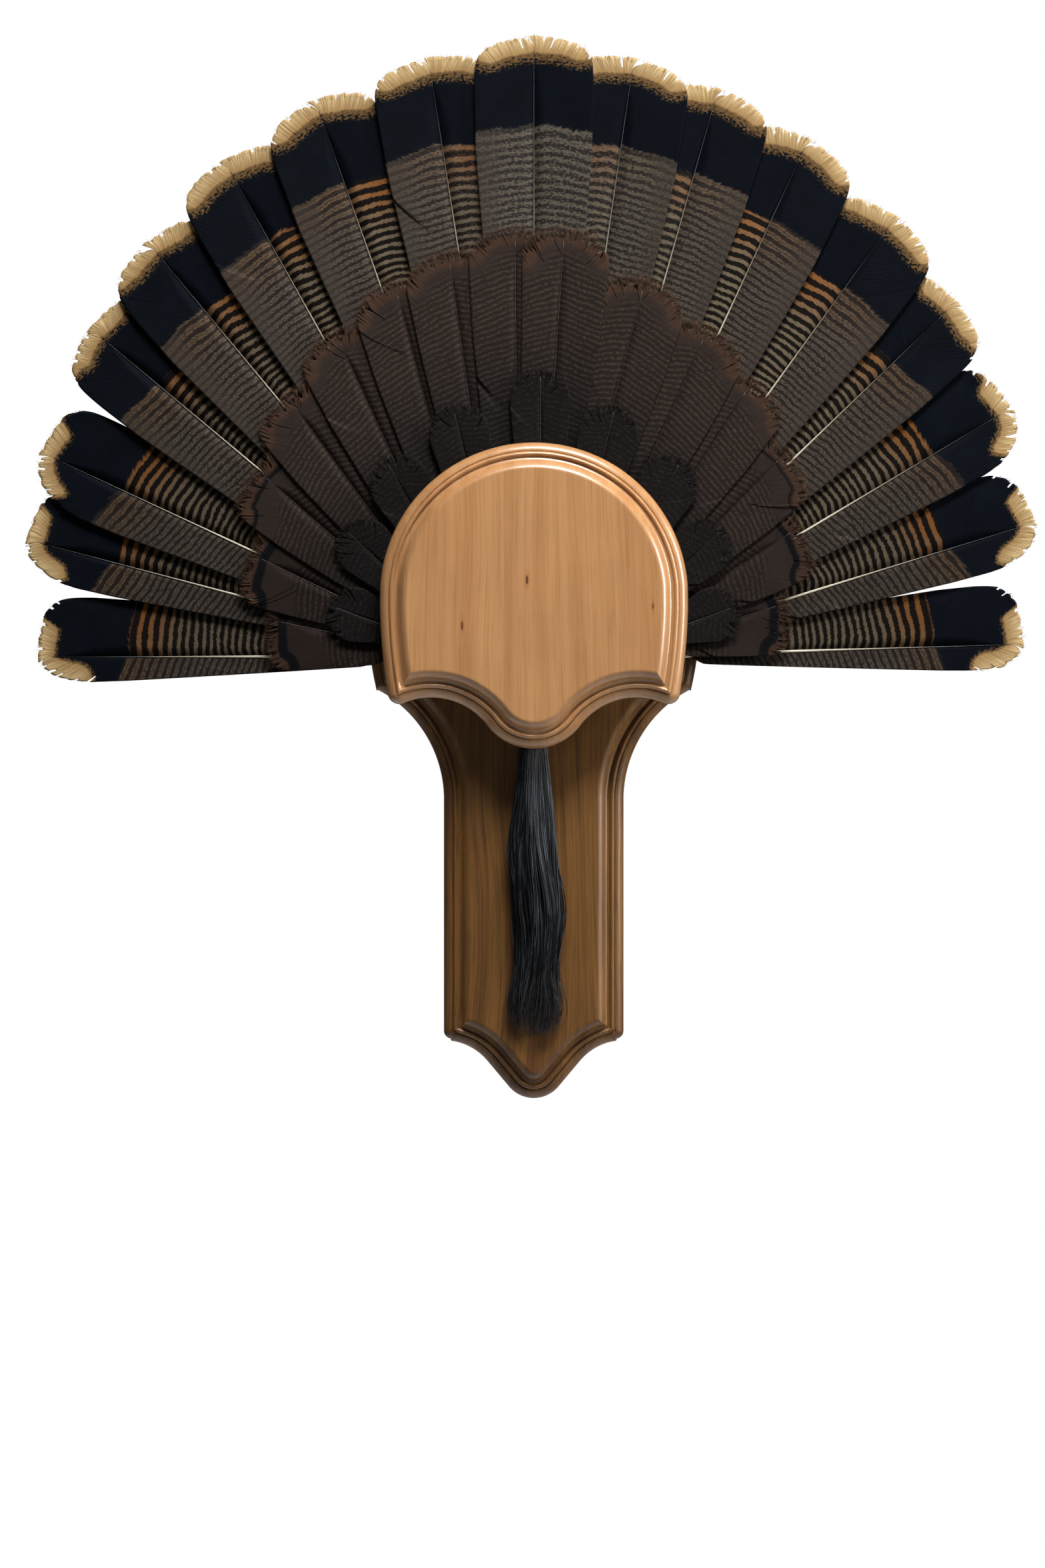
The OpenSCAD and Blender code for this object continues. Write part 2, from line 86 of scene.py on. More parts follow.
class Graph:
    """Short calls that build one material's node tree."""

    def __init__(self, name, roughness, specular=0.5):
        self.material = bpy.data.materials.new(name)
        self.material.use_nodes = True
        self.tree = self.material.node_tree
        self.shader = self.tree.nodes["Principled BSDF"]
        self.shader.inputs["Roughness"].default_value = roughness
        self.shader.inputs["Specular IOR Level"].default_value = specular

    def put(self, socket, value):
        if isinstance(value, Value):
            self.tree.links.new(value.socket, socket)
        else:
            socket.default_value = value

    def node(self, kind, inputs, output=0, **settings):
        """A new node's output. inputs holds values by the input's name or number."""
        node = self.tree.nodes.new("ShaderNode" + kind)
        for name, value in settings.items():
            setattr(node, name, value)
        for key, value in inputs.items():
            self.put(node.inputs[key], value)
        return Value(self, node.outputs[output])

    def math(self, operation, *values):
        return self.node("Math", dict(enumerate(values)), operation=operation)

    def exponent(self, value):
        return self.math("EXPONENT", value)

    def wave(self, value):
        """A sine that repeats each time value grows by 1."""
        return self.math("SINE", value * (2 * math.pi))

    def step(self, value, low, high):
        """A smooth step from 0 at low to 1 at high."""
        inputs = {"Value": value, "From Min": low, "From Max": high}
        return self.node("MapRange", inputs, "Result", interpolation_type="SMOOTHSTEP")

    def vector(self, x, y, z):
        return self.node("CombineXYZ", {0: x, 1: y, 2: z})

    def split(self, vector):
        node = self.tree.nodes.new("ShaderNodeSeparateXYZ")
        self.put(node.inputs[0], vector)
        return [Value(self, socket) for socket in node.outputs]

    def stretch(self, vector, x, y, z):
        return self.node("VectorMath", {0: vector, 1: (x, y, z)}, operation="MULTIPLY")

    def attribute(self, name):
        return self.node("Attribute", {}, "Vector", attribute_name=name)

    def millimetres(self):
        """Object coordinates in millimetres."""
        return self.stretch(self.node("TexCoord", {}, "Object"), 1000, 1000, 1000)

    def noise(self, vector, detail, roughness=0.5):
        inputs = {"Vector": vector, "Scale": 1.0, "Detail": detail, "Roughness": roughness}
        return self.node("TexNoise", inputs)

    def mix(self, factor, a, b):
        return self.node("Mix", {0: factor, 6: a, 7: b}, 2, data_type="RGBA")

    def shade(self, colour, value):
        """Colour times a grey value."""
        return self.node("VectorMath", {0: colour, "Scale": value}, operation="SCALE")

    def lerp(self, factor, a, b):
        return self.node("Mix", {0: factor, 2: a, 3: b})

    def bump(self, height, distance, strength=1.0):
        inputs = {"Strength": strength, "Distance": distance, "Height": height}
        self.put(self.shader.inputs["Normal"], self.node("Bump", inputs))

    def finish(self, colour, roughness=None, **constants):
        """The material, once the colour is linked. constants are the shader's other inputs."""
        self.put(self.shader.inputs["Base Color"], colour)
        if roughness is not None:
            self.put(self.shader.inputs["Roughness"], roughness)
        for name, value in constants.items():
            self.shader.inputs[name.replace("_", " ")].default_value = value
        return self.material


class FeatherGraph(Graph):
    """A graph that reads a feather's values: place on the vane, place on the barb, and the feather's kind."""

    def __init__(self, name, roughness, specular):
        super().__init__(name, roughness, specular)
        self.lateral, self.distance, self.seed = self.split(self.attribute("coord"))
        self.along, self.row, self.fringe = self.split(self.attribute("barb"))
        self.grey, self.side, self.back = self.split(self.attribute("trait"))

    def vane_noise(self, across, up, detail, roughness=0.5):
        """Noise over the vane. across and up are its scales in 1/mm."""
        return self.noise(self.vector(self.lateral * across, self.distance * up, self.seed), detail, roughness)

    def barb_noise(self, along, row, detail, roughness=0.5):
        """Noise that is drawn out along the barbs."""
        return self.noise(self.vector(self.along * along, self.row * row, self.seed), detail, roughness)

    def streaks(self, pitch):
        """Fine lines along the barbs, from 0 to 1."""
        return self.barb_noise(1 / pitch, 0.05, 2.0, 0.6)

    def barb_bump(self, pitch, depth):
        self.bump(self.wave(self.along * (1 / pitch)) * 0.35 + self.streaks(pitch * 1.7), depth)

    def finish_vane(self, colour, back_colour, pitch, depth):
        """Pales the back of the vane, and raises the barbs."""
        colour = self.mix(self.back, colour, self.mix(0.3, colour, back_colour))
        self.barb_bump(pitch, depth)
        return self.finish(colour)


# ---------------------------------------------------------------- feather materials

def tail_bars(g, place, inner, speckle):
    """Where the bars are light, from 0 to 1: wide next to the black band, then closer together."""
    squeeze = g.exponent((place - 58.0) * -0.025)
    turns = place * g.lerp(inner, 0.265, 0.24) + squeeze * 4.4
    wave = g.wave(turns + g.seed * 0.37)
    twin = (1 - inner) * (g.step(wave, 0.55, 0.95) * 0.5)
    solid = g.step(wave, g.lerp(inner, -0.6, -0.15), g.lerp(inner, 0.5, 0.55)) - twin
    broken = solid * g.step(speckle, g.lerp(inner, 0.3, 0.22), g.lerp(inner, 0.55, 0.4))
    vermicule = g.step(speckle * 3.2 + wave * 0.3, 1.3, 2.0)
    return g.lerp(g.grey, broken, vermicule)


def tail_ground(g, place, inner, aside, fine, speckle):
    """The barred part of the vane: grey-brown, with rust next to the black band."""
    bars = tail_bars(g, place, inner, speckle)
    rust = g.step(place, 92.0, 62.0)
    light_inner = g.mix(rust, srgb(102, 91, 75), srgb(130, 84, 44))
    light_inner = g.mix(g.step(aside, 20.0, 4.0) * 0.35, light_inner, srgb(116, 102, 82))
    light_outer = g.mix(rust, srgb(88, 81, 73), srgb(98, 80, 62))
    light = g.mix(inner, light_outer, light_inner)
    light = g.mix(g.grey, light, srgb(91, 84, 75))
    dark = g.mix(inner, srgb(40, 33, 30), srgb(22, 18, 16))
    dark = g.mix(g.grey, dark, srgb(40, 37, 36))
    barred = g.mix(bars, dark, light)
    margin = g.step(aside, 15.0, 30.0) * ((1 - inner) * 0.55)
    barred = g.mix(margin, barred, srgb(62, 55, 50))
    # Painted shade: the feathers at the sides of the fan are painted darker, for the light falling from above.
    barred = g.shade(barred, (fine * 0.56 + 0.6) * g.lerp(g.side, 1.0, 0.7))
    # Painted shade: darker towards the base, where the vane lies in shadow under the coverts.
    return g.mix(g.step(g.distance, 140.0, 215.0) * 0.45, barred, srgb(30, 25, 22))


def tail_vane_material():
    """Buff fringe, a mottled line, a blue-black band, then rust and grey-brown bars to the base."""
    g = FeatherGraph("tail_vane", 0.65, 0.035)
    aside = abs(g.lateral)
    inner = g.step(g.lateral, -0.4, 0.4)
    fine = g.streaks(0.9)
    ragged = g.barb_noise(0.55, 0.02, 2.0) - 0.5
    sway = g.vane_noise(0.05, 0.04, 1.0) - 0.5
    speckle = g.vane_noise(0.5, 0.75, 3.0, 0.62)

    # Place down the vane, slanted more on the feathers at the sides and hooked at the shaft.
    slant = g.lerp(inner, g.side * 0.5 - 0.1, -0.1)
    hook = inner * -2.6 * g.exponent(aside * -0.22)
    place = g.distance + aside * slant + (sway * 5.0 + ragged * 2.4 + hook)
    barred = tail_ground(g, place, inner, aside, fine, speckle)
    black = g.mix(g.vane_noise(0.06, 0.06, 1.0), srgb(3, 6, 12), srgb(9, 14, 22))
    black = g.shade(black, fine * 0.9 + 0.55)
    colour = g.mix(g.step(place + ragged * 3.0, 54.5, 57.0), black, barred)

    # The fringe thins out towards the corners of the feathers at the sides.
    worn = g.step(aside, 16.0, 27.0) * (g.side * 13.0)
    tip_edge = g.fringe + worn + (ragged * 2.2 + sway * 3.0)
    mottle_end = g.lerp(g.side, 18.5, 14.0)
    shrink = g.step(tip_edge, 9.0, mottle_end) * -0.2
    mottle = g.step(speckle + shrink, 0.3, 0.46)
    in_mottle = mottle * (1 - g.step(tip_edge, mottle_end - 3.0, mottle_end))
    colour = g.mix(in_mottle, colour, g.mix(fine, srgb(70, 50, 32), srgb(122, 96, 60)))
    buff = g.mix(g.step(fine, 0.3, 0.7), srgb(150, 124, 86), srgb(204, 178, 132))
    buff = g.mix(g.step(tip_edge, 2.0, 10.0) * 0.75, buff, srgb(142, 110, 68))
    buff = g.mix(g.step(g.fringe, 1.6, -0.6) * 0.4, buff, srgb(126, 100, 66))
    colour = g.mix(1 - g.step(tip_edge, 9.2, 11.2), colour, buff)
    return g.finish_vane(colour, srgb(96, 88, 78), 0.95, 0.0001)


def covert_vane_material():
    """Rusty frayed fringe, a black line at the sides of the fan, a plain maroon zone, then fine dark bars."""
    g = FeatherGraph("covert_vane", 0.66, 0.05)
    aside = abs(g.lateral)
    fine = g.streaks(0.75)
    drift = g.vane_noise(0.06, 0.05, 1.0)
    ragged = (g.barb_noise(0.6, 0.02, 1.0) - 0.5) * 1.6
    sway = drift - 0.5

    place = g.distance - aside * 0.3 + (sway * 5.0 + ragged)
    wave = g.wave(place * (1 / 3.6))
    speckle = g.vane_noise(0.5, 0.7, 2.0)
    bars = g.step(wave, -0.5, 0.9) * g.step(speckle, 0.3, 0.62)
    # Painted shade: the bars grow darker towards the base, in under the other coverts and the plate.
    depth = g.step(g.distance, 45.0, 130.0)
    dark = g.mix(depth, srgb(34, 28, 26), srgb(18, 17, 17))
    light = g.mix(depth, srgb(60, 49, 42), srgb(37, 33, 31))
    barred = g.mix(bars, dark, light)

    plain = g.mix(drift, srgb(37, 30, 28), srgb(52, 42, 38))
    line_from = g.lerp(g.side, 8.0, 7.0)
    line_to = g.lerp(g.side, 8.8, 12.6)
    edge = g.fringe + sway * 3.0
    plain_end = line_to + (g.lerp(g.side, 2.0, 15.0) + ragged * 1.5)
    colour = g.mix(g.step(edge, plain_end, plain_end + 9.0), plain, barred)
    # Painted shade: the coverts at the sides of the fan are painted darker.
    colour = g.shade(colour, (fine * 0.6 + 0.7) * g.lerp(g.side, 1.05, 0.7))
    in_line = g.step(edge + ragged, line_to + 1.0, line_to - 0.4) * g.step(g.side, 0.02, 0.4)
    colour = g.mix(in_line, colour, srgb(9, 10, 13))
    rust = g.mix(fine, srgb(42, 31, 26), srgb(78, 57, 44))
    rust = g.mix(g.step(g.fringe, 3.0, -4.0) * 0.7, rust, srgb(98, 74, 54))
    # Painted shade: the rust fringe is painted darker at the sides of the fan.
    rust = g.shade(rust, g.lerp(g.side, 1.0, 0.72))
    in_rust = g.step(edge + ragged, line_from + g.lerp(g.side, 4.0, 0.6), line_from - 1.0)
    colour = g.mix(in_rust, colour, rust)
    return g.finish_vane(colour, srgb(84, 74, 68), 0.8, 0.00008)


def inner_vane_material():
    """Near-black brown vane with the ghost of bars."""
    g = FeatherGraph("inner_covert_vane", 0.65, 0.05)
    fine = g.streaks(0.7)
    place = g.distance - abs(g.lateral) * 0.3 + g.vane_noise(0.08, 0.07, 1.0) * 7.0
    ghost = g.step(g.wave(place * (1 / 3.4)), -0.2, 1.0) * g.step(g.vane_noise(0.5, 0.7, 2.0), 0.4, 0.66)
    colour = g.mix(ghost, srgb(20, 18, 18), srgb(36, 32, 30))
    colour = g.mix(g.step(g.fringe + fine * 3.0, 6.0, 1.0) * 0.5, colour, srgb(34, 29, 27))
    colour = g.shade(colour, fine * 0.7 + 0.65)
    return g.finish_vane(colour, srgb(70, 64, 60), 0.75, 0.00008)


def tail_shaft_material():
    """Ivory towards the base, grey among the bars, a thin slate line in the black band."""
    g = FeatherGraph("tail_shaft", 0.36, 0.4)
    fibre = g.vane_noise(3.0, 0.06, 2.0)
    far = g.distance + (fibre - 0.5) * 14.0
    ivory = g.mix(fibre, srgb(186, 176, 154), srgb(224, 216, 198))
    colour = g.mix(g.step(far, 24.0, 60.0), srgb(22, 25, 27), srgb(72, 78, 78))
    colour = g.mix(g.step(far, 58.0, 84.0), colour, srgb(132, 122, 106))
    colour = g.mix(g.step(far, 84.0, 150.0), colour, ivory)
    colour = g.mix(g.grey * 0.8, colour, srgb(58, 55, 52))
    g.bump(fibre, 0.00006)
    return g.finish(colour, Coat_Weight=0.15, Coat_Roughness=0.3)


def covert_shaft_material():
    """Dark horn, near black towards the base."""
    g = FeatherGraph("covert_shaft", 0.4, 0.45)
    fibre = g.vane_noise(3.0, 0.08, 2.0)
    colour = g.mix(fibre, srgb(34, 27, 25), srgb(62, 47, 41))
    colour = g.mix(g.step(g.distance, 60.0, 130.0), colour, srgb(22, 20, 20))
    g.bump(fibre, 0.00005)
    return g.finish(colour, Coat_Weight=0.15, Coat_Roughness=0.3)


# ---------------------------------------------------------------- other materials

def wood_material(name, tones, streak, pore_share, sway, roughness, coat, coat_roughness=0.16, knots=()):
    """Vertical grain with slow figure, fine fibres and pores, under lacquer. Knots are (x, z, rx, rz) in mm."""
    g = Graph(name, roughness, 0.45)
    place = g.millimetres()
    x, y, z = g.split(place)
    ring = x + (g.noise(g.stretch(place, 0.016, 0.016, 0.005), 1.0) - 0.5) * sway
    figure = g.noise(g.vector(ring * 0.11, y * 0.1, z * 0.0025), 3.0, 0.55)
    fibre = g.noise(g.vector(ring * 0.8, y * 0.8, z * 0.012), 3.0, 0.6)
    lines = g.noise(g.vector(ring * 1.7, y * 1.7, z * 0.03), 2.0, 0.7)
    cloud = g.noise(g.stretch(place, 0.035, 0.035, 0.02), 2.0)
    pores = g.step(g.noise(g.stretch(place, 2.1, 2.1, 0.11), 1.0), 0.74 - pore_share, 0.8 - pore_share)
    light, middle, dark = tones
    colour = g.mix(g.step(figure, 0.3, 0.68), middle, light)
    colour = g.mix(g.step(fibre, 0.42, 0.72) * streak, colour, dark)
    colour = g.mix(g.step(lines, 0.54, 0.72) * streak, colour, dark)
    colour = g.shade(colour, cloud * 0.28 + 0.86)
    colour = g.mix(pores * 0.45, colour, dark)
    for knot_x, knot_z, radius_x, radius_z in knots:
        across = (x - knot_x) / radius_x
        up = (z - knot_z) / radius_z
        near = g.math("SQRT", across * across + up * up) + (fibre - 0.5) * 0.8
        colour = g.mix(g.step(near, 3.2, 0.8) * 0.45, colour, srgb(168, 104, 56))
        colour = g.mix(g.step(near, 1.1, 0.6) * 0.85, colour, srgb(74, 40, 24))
    g.bump(fibre * 0.5 - pores * 0.5, 0.00012, 0.6)
    return g.finish(colour, fibre * 0.12 + (roughness - 0.06), Coat_Weight=coat, Coat_Roughness=coat_roughness)


def metal_material(name, bright, dull, roughness):
    """Plated metal: fine wear lines and dull patches."""
    g = Graph(name, roughness)
    place = g.millimetres()
    patches = g.noise(g.stretch(place, 0.35, 0.35, 0.35), 3.0, 0.6)
    lines = g.noise(g.stretch(place, 0.6, 6.0, 3.5), 2.0)
    colour = g.mix(g.step(patches, 0.42, 0.7), bright, dull)
    g.bump(lines, 0.00002, 0.6)
    return g.finish(colour, patches * 0.22 + lines * 0.08 + (roughness - 0.1), Metallic=1.0)


def hide_material(name, light, dark, scale, depth):
    """Dried skin or filler: lumps, wrinkles and stains."""
    g = Graph(name, 0.7, 0.3)
    place = g.millimetres()
    lumps = g.noise(g.stretch(place, 0.12 * scale, 0.12 * scale, 0.12 * scale), 4.0, 0.6)
    wrinkles = g.noise(g.stretch(place, 0.9 * scale, 0.9 * scale, 0.35 * scale), 3.0, 0.65)
    colour = g.mix(g.step(lumps, 0.35, 0.66), dark, light)
    colour = g.mix(g.step(wrinkles, 0.5, 0.7) * 0.5, colour, dark)
    g.bump(lumps * 0.6 + wrinkles * 0.5, depth)
    return g.finish(colour, wrinkles * 0.3 + 0.55)


def bristle_material():
    """Blue-black bristles, a little lighter and browner towards worn ends."""
    g = Graph("beard_bristle", 0.42)
    turn, down, seed = g.split(g.attribute("coord"))
    own = g.noise(g.vector(seed * 7.3, down * 0.02, 0.0), 2.0)
    fleck = g.noise(g.vector(seed * 3.1, down * 0.5, turn), 2.0)
    # A share of the bristles is light blue-grey: tone that differs from bristle to bristle, and painted highlight
    # along the strands.
    colour = g.mix(g.step(own, 0.47, 0.68), srgb(6, 8, 12), srgb(82, 90, 99))
    colour = g.shade(colour, fleck * 0.7 + 0.6)
    colour = g.mix(g.step(down, 130.0, 192.0) * 0.35, colour, srgb(52, 42, 36))
    g.bump(fleck, 0.00004)
    return g.finish(colour, fleck * 0.25 + 0.3)


def floor_material():
    """Pale, with the faintest mottle."""
    g = Graph("studio_floor", 0.85, 0.2)
    grain = g.noise(g.stretch(g.millimetres(), 0.01, 0.01, 0.01), 2.0)
    return g.finish(g.mix(grain, srgb(246, 246, 246), srgb(252, 252, 252)))


# ---------------------------------------------------------------- mesh building

def unit(v):
    return v / np.maximum(np.linalg.norm(v, axis=-1, keepdims=True), 1e-9)


def ease(t):
    """A smooth step from 0 to 1."""
    t = np.clip(t, 0, 1)
    return t * t * (3 - 2 * t)


def add_to_scene(name, data):
    piece = bpy.data.objects.new(name, data)
    bpy.context.scene.collection.objects.link(piece)
    return piece


class Shape:
    """Points in millimetres, faces, and the values that the materials read, gathered for one mesh."""

    def __init__(self):
        self.points, self.faces, self.flat, self.slots = [], [], [], []
        self.values = {"coord": [], "barb": [], "trait": []}
        self.count = 0

    def add(self, points, faces, slot=0, flat=None, **values):
        """Adds points of shape (..., 3), faces that index them, and values that broadcast to the points.

        flat marks the faces that aren't smoothed.
        """
        for name, parts in self.values.items():
            parts.append(np.broadcast_to(values.get(name, 0.0), points.shape).reshape(-1, 3))
        self.points.append(points.reshape(-1, 3))
        self.faces += [[i + self.count for i in face] for face in faces]
        self.flat += flat or [False] * len(faces)
        self.slots += [slot] * len(faces)
        self.count += len(self.points[-1])

    def build(self, name, materials):
        mesh = bpy.data.meshes.new(name)
        mesh.from_pydata((np.vstack(self.points) * MM).tolist(), [], self.faces)
        mesh.polygons.foreach_set("use_smooth", [not f for f in self.flat])
        mesh.polygons.foreach_set("material_index", self.slots)
        for key, parts in self.values.items():
            held = mesh.attributes.new(key, "FLOAT_VECTOR", "POINT")
            held.data.foreach_set("vector", np.vstack(parts).astype(np.float32).ravel())
        for material in materials:
            mesh.materials.append(material)
        mesh.validate()
        return add_to_scene(name, mesh)


def tubes(paths, across, deep, sides, turned=0.0):
    """Closed tapered tubes along many paths at once. paths is (n, m, 3); across and deep are radii (n, m).

    Sections lie square to each path, with deep measured along Y. Returns points (n, m, sides, 3) and faces.
    """
    along = unit(np.gradient(paths, axis=1))
    out = np.zeros_like(paths)
    out[..., 1] = -1
    out = unit(out - along * np.sum(out * along, -1, keepdims=True))
    aside = np.cross(along, out)
    angle = 2 * np.pi * np.arange(sides) / sides + turned
    ring = (
        aside[:, :, None] * (across[:, :, None] * np.cos(angle))[..., None]
        + out[:, :, None] * (deep[:, :, None] * np.sin(angle))[..., None]
    )
    n, m = paths.shape[:2]
    index = np.arange(n * m * sides).reshape(n, m, sides)
    nxt = np.roll(index, -1, 2)
    quads = np.stack([index[:, :-1], nxt[:, :-1], nxt[:, 1:], index[:, 1:]], -1).reshape(-1, 4)
    caps = index[:, 0, ::-1].tolist() + index[:, -1].tolist()
    return paths[:, :, None] + ring, quads.tolist() + caps


# ---------------------------------------------------------------- feathers

# Sizes are in millimetres. nose and tip_zone: how far the tip stands past the CAD feather, and how long it is.
# coarse and fine: the barbs' pitch outside and inside the tip. lead and root_end: how far a barb's root lies
# below its end, as a share of its length, and at least, in the tip.
TAIL = dict(
    slot="tail_vane", nose=3.0, coarse=2.6, fine=0.5, tip_zone=50.0, root_end=12.0, lead=0.9,
    tuft=(9, 24), cut=(0.6, 2.6), deep_cut=0.22, pull=0.13, spread=0.6, camber=0.35, outer_lift=1.3,
    splits=(0, 2), overlap=(1.5, 4.0), tip_band=30.0, part=4.5, flat_at=(62, 46), square_inside=0.75,
    hairs=60, hair_length=(1.5, 3.5), hair_turn=0.16, hair_radius=0.12, skew=0.1, raise_tip=0.2,
)
COVERT = dict(
    slot="covert_vane", nose=2.5, coarse=2.2, fine=0.5, tip_zone=38.0, root_end=10.0, lead=0.85,
    tuft=(3, 8), cut=(3.0, 8.0), deep_cut=0.2, pull=0.4, spread=1.4, camber=0.3, outer_lift=0.5,
    splits=(0, 2), overlap=(1.2, 3.0), tip_band=34.0, part=0.0, flat_at=(15, 45), square_inside=0.0,
    hairs=260, hair_length=(3.0, 8.0), hair_turn=0.3, hair_radius=0.11, skew=0.4, raise_tip=0.8,
)
INNER = dict(
    COVERT, slot="inner_covert_vane", nose=2.0, coarse=2.0, fine=0.6, tip_zone=26.0, root_end=8.0, lead=0.8,
    cut=(2.0, 5.0), pull=0.35, spread=0.9, camber=0.2, outer_lift=0.3, splits=(0, 1), overlap=(1.0, 2.0),
    tip_band=22.0, flat_at=(0, -1), hairs=90, hair_length=(2.5, 5.0), skew=0.3, raise_tip=0.5,
)
# How far the loose fringe stands past each CAD tail feather, from the lowest feather up.
FRINGE_REACH = {
    "l": (5.0, 9.0, 9.0, 8.0, 8.0, 9.5, 8.5, 4.0),
    "r": (0.5, 6.5, 7.5, 5.5, 7.0, 7.0, 5.0, 3.0),
}
# Keeps the barb pattern of one side of a feather apart from that of the other.
RIGHT_BARBS = 400


class Feather:
    """A CAD feather's shaft line and sections, read back from its mesh, and what its new mesh is made of."""

    def __init__(self, node, kind, seed, grey):
        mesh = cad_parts[node].data
        flat = np.empty(len(mesh.vertices) * 3)
        mesh.vertices.foreach_get("co", flat)
        points = np.unique(np.round(flat.reshape(-1, 3) / MM, 3), axis=0)
        plan, depth = points[:, [0, 2]], points[:, 1]
        by_reach = np.argsort(np.linalg.norm(plan - FAN_CENTRE, axis=1))
        self.base = plan[by_reach[:8]].mean(0)
        self.along = unit(plan[by_reach[-4:]].mean(0) - self.base)
        for _ in range(2):
            s, side = self.measure(plan)
            last = s > s.max() - 1.5
            tip = self.base + self.along * s[last].mean() + self.aside * np.median(side[last])
            self.along = unit(tip - self.base)
        s, side = self.measure(plan)
        order = np.argsort(s)
        breaks = np.flatnonzero(np.diff(s[order]) > 1.0) + 1
        rows = []
        for ring in np.split(order, breaks):
            if len(ring) < 6:
                continue
            ring = ring[np.argsort(side[ring])]
            left, middle, right = ring[:2], ring[2:-2], ring[-2:]
            rows.append([
                s[ring].mean(), -side[left].mean(), side[right].mean(),
                depth[left].mean(), depth[middle].mean(), depth[right].mean(), np.ptp(depth[middle]) / 2,
            ])
        self.s, left, right, y_left, self.y, y_right, self.ridge = np.array(rows).T
        self.half = {-1: left, 1: right}
        self.y_edge = {-1: y_left, 1: y_right}
        self.length = self.s[-1]
        self.kind, self.seed, self.shape = kind, float(seed), Shape()
        self.rng = np.random.default_rng(1000 + seed)
        self.from_vertical = abs(math.degrees(math.atan2(self.along[0], self.along[1])))
        self.centre_side = 1 if self.base[0] + self.along[0] * 100 < 1 else -1
        self.trait = (grey, float(np.clip((self.from_vertical - 30) / 38, 0, 1)), 0.0)

    @property
    def aside(self):
        return np.array([self.along[1], -self.along[0]])

    def measure(self, plan):
        return (plan - self.base) @ self.along, (plan - self.base) @ self.aside

    def read(self, values, s):
        return np.interp(s, self.s, values)

    def place(self, s, side, lift):
        """Points at distances s along and side across the shaft, lifted towards the front from the CAD's surface."""
        left = side < 0
        half, edge = [np.where(left, self.read(v[-1], s), self.read(v[1], s)) for v in (self.half, self.y_edge)]
        share = np.clip(np.abs(side) / np.maximum(half, 0.5), 0, 1)
        middle = self.read(self.y, s)
        y = middle + (edge - middle) * share - lift
        plan = self.base + s[..., None] * self.along + side[..., None] * self.aside
        return np.stack([plan[..., 0], y, plan[..., 1]], -1)

    def coord(self, across, side, distance):
        """What the materials read as coord. Across counts from the shaft towards the fan's middle."""
        return np.stack([across * side * self.centre_side, distance, np.full_like(across, self.seed)], -1)


def lengths(line):
    return np.r_[0, np.cumsum(np.linalg.norm(np.diff(line, axis=0), axis=1))]


def vane_outline(feather, side, flat, drop):
    """Points (s, side) from the vane's start to the middle of the tip, one about every millimetre.

    flat squares the tip's corner, from 0 to 1, and drop slopes the tip back from the shaft.
    """
    nose = feather.length + feather.kind["nose"]
    round_s = feather.s[-5] + 6 * flat
    half = feather.half[side]
    power = 2 / (2.15 + 2.4 * flat)
    turn = np.linspace(0, np.pi / 2, 60)
    across = feather.read(half, feather.s[-5]) * np.cos(turn) ** power
    along = round_s + (nose - round_s) * np.sin(turn) ** power - drop * across
    s = np.arange(feather.s[2], along[0], 1.0)
    sides = np.column_stack([s, np.interp(s, feather.s[:-4], half[:-4])])
    line = np.vstack([sides, np.column_stack([along, across])])
    arc = lengths(line)
    even = np.arange(0, arc[-1], 1.0)
    line = np.column_stack([np.interp(even, arc, line[:, 0]), np.interp(even, arc, line[:, 1])])
    padded = np.pad(line, ((4, 4), (0, 0)), mode="reflect", reflect_type="odd")
    window = np.hanning(11)[1:-1]
    window /= window.sum()
    smooth = np.column_stack([np.convolve(padded[:, c], window, "valid") for c in (0, 1)])
    smooth[-1] = [nose, 0]
    smooth[:, 1] = np.maximum(smooth[:, 1], 0)
    return smooth, lengths(smooth)


def barb_places(total, kind):
    """Distances along the outline where barbs end: closer together in the tip."""
    places = [0.0]
    while places[-1] < total - 0.5 * kind["fine"]:
        near = float(ease((places[-1] - total + kind["tip_zone"] + 12) / 12))
        places.append(places[-1] + kind["coarse"] * (1 - near) + kind["fine"] * near)
    places[-1] = total
    return np.array(places)


def split_barbs(places, total, kind, rng):
    """Where the barbs end along the outline, and their rise: at a split, one side goes over the other."""
    ends, rise = places.copy(), np.zeros(len(places))
    for _ in range(rng.integers(*kind["splits"], endpoint=True)):
        where = rng.uniform(0.3 * total, total - kind["tip_zone"] * 0.75)
        strip = int(np.clip(np.searchsorted(places, where), 1, len(places) - 2)) - 1
        over = places[strip + 1] - places[strip] + rng.uniform(*kind["overlap"])
        gap = places - (places[strip] + places[strip + 1]) / 2
        ends -= np.sign(gap) * over / 2 * np.exp(-np.abs(gap) / 9)
        rise += np.sign(gap) * rng.choice([-1, 1]) * 0.3 * np.exp(-np.abs(gap) / 7)
    return np.clip(ends, 0, total), rise


def tuft_barbs(places, total, kind, rng):
    """Gathers the tip's barbs into tufts: each barb's tuft, reach, bend, and the cut to the next barb."""
    count = len(places)
    tuft, reach, bend, cuts = np.zeros(count, int), np.zeros(count), np.zeros(count), np.zeros(count - 1)
    i = first = int(np.searchsorted(places, total - kind["tip_zone"] * 0.9))
    while i < count:
        size = int(rng.integers(*kind["tuft"]))
        here = slice(i, i + size)
        tuft[here] = tuft.max() + 1
        members = len(reach[here])
        grow = rng.uniform(-1, 0.6) * kind["spread"]
        dome = -0.7 * np.linspace(-1, 1, members) ** 2
        reach[here] = grow + dome + rng.uniform(-0.35, 0.35, members) * kind["spread"]
        bend[here] = rng.normal(0, kind["skew"])
        if 0 < i < count - size:
            cuts[i + size - 1] = rng.uniform(*kind["cut"]) * (2.6 if rng.random() < kind["deep_cut"] else 1)
        i += size
    fade = ease((places - places[first]) / 10)
    return tuft, reach * fade, bend * fade, cuts


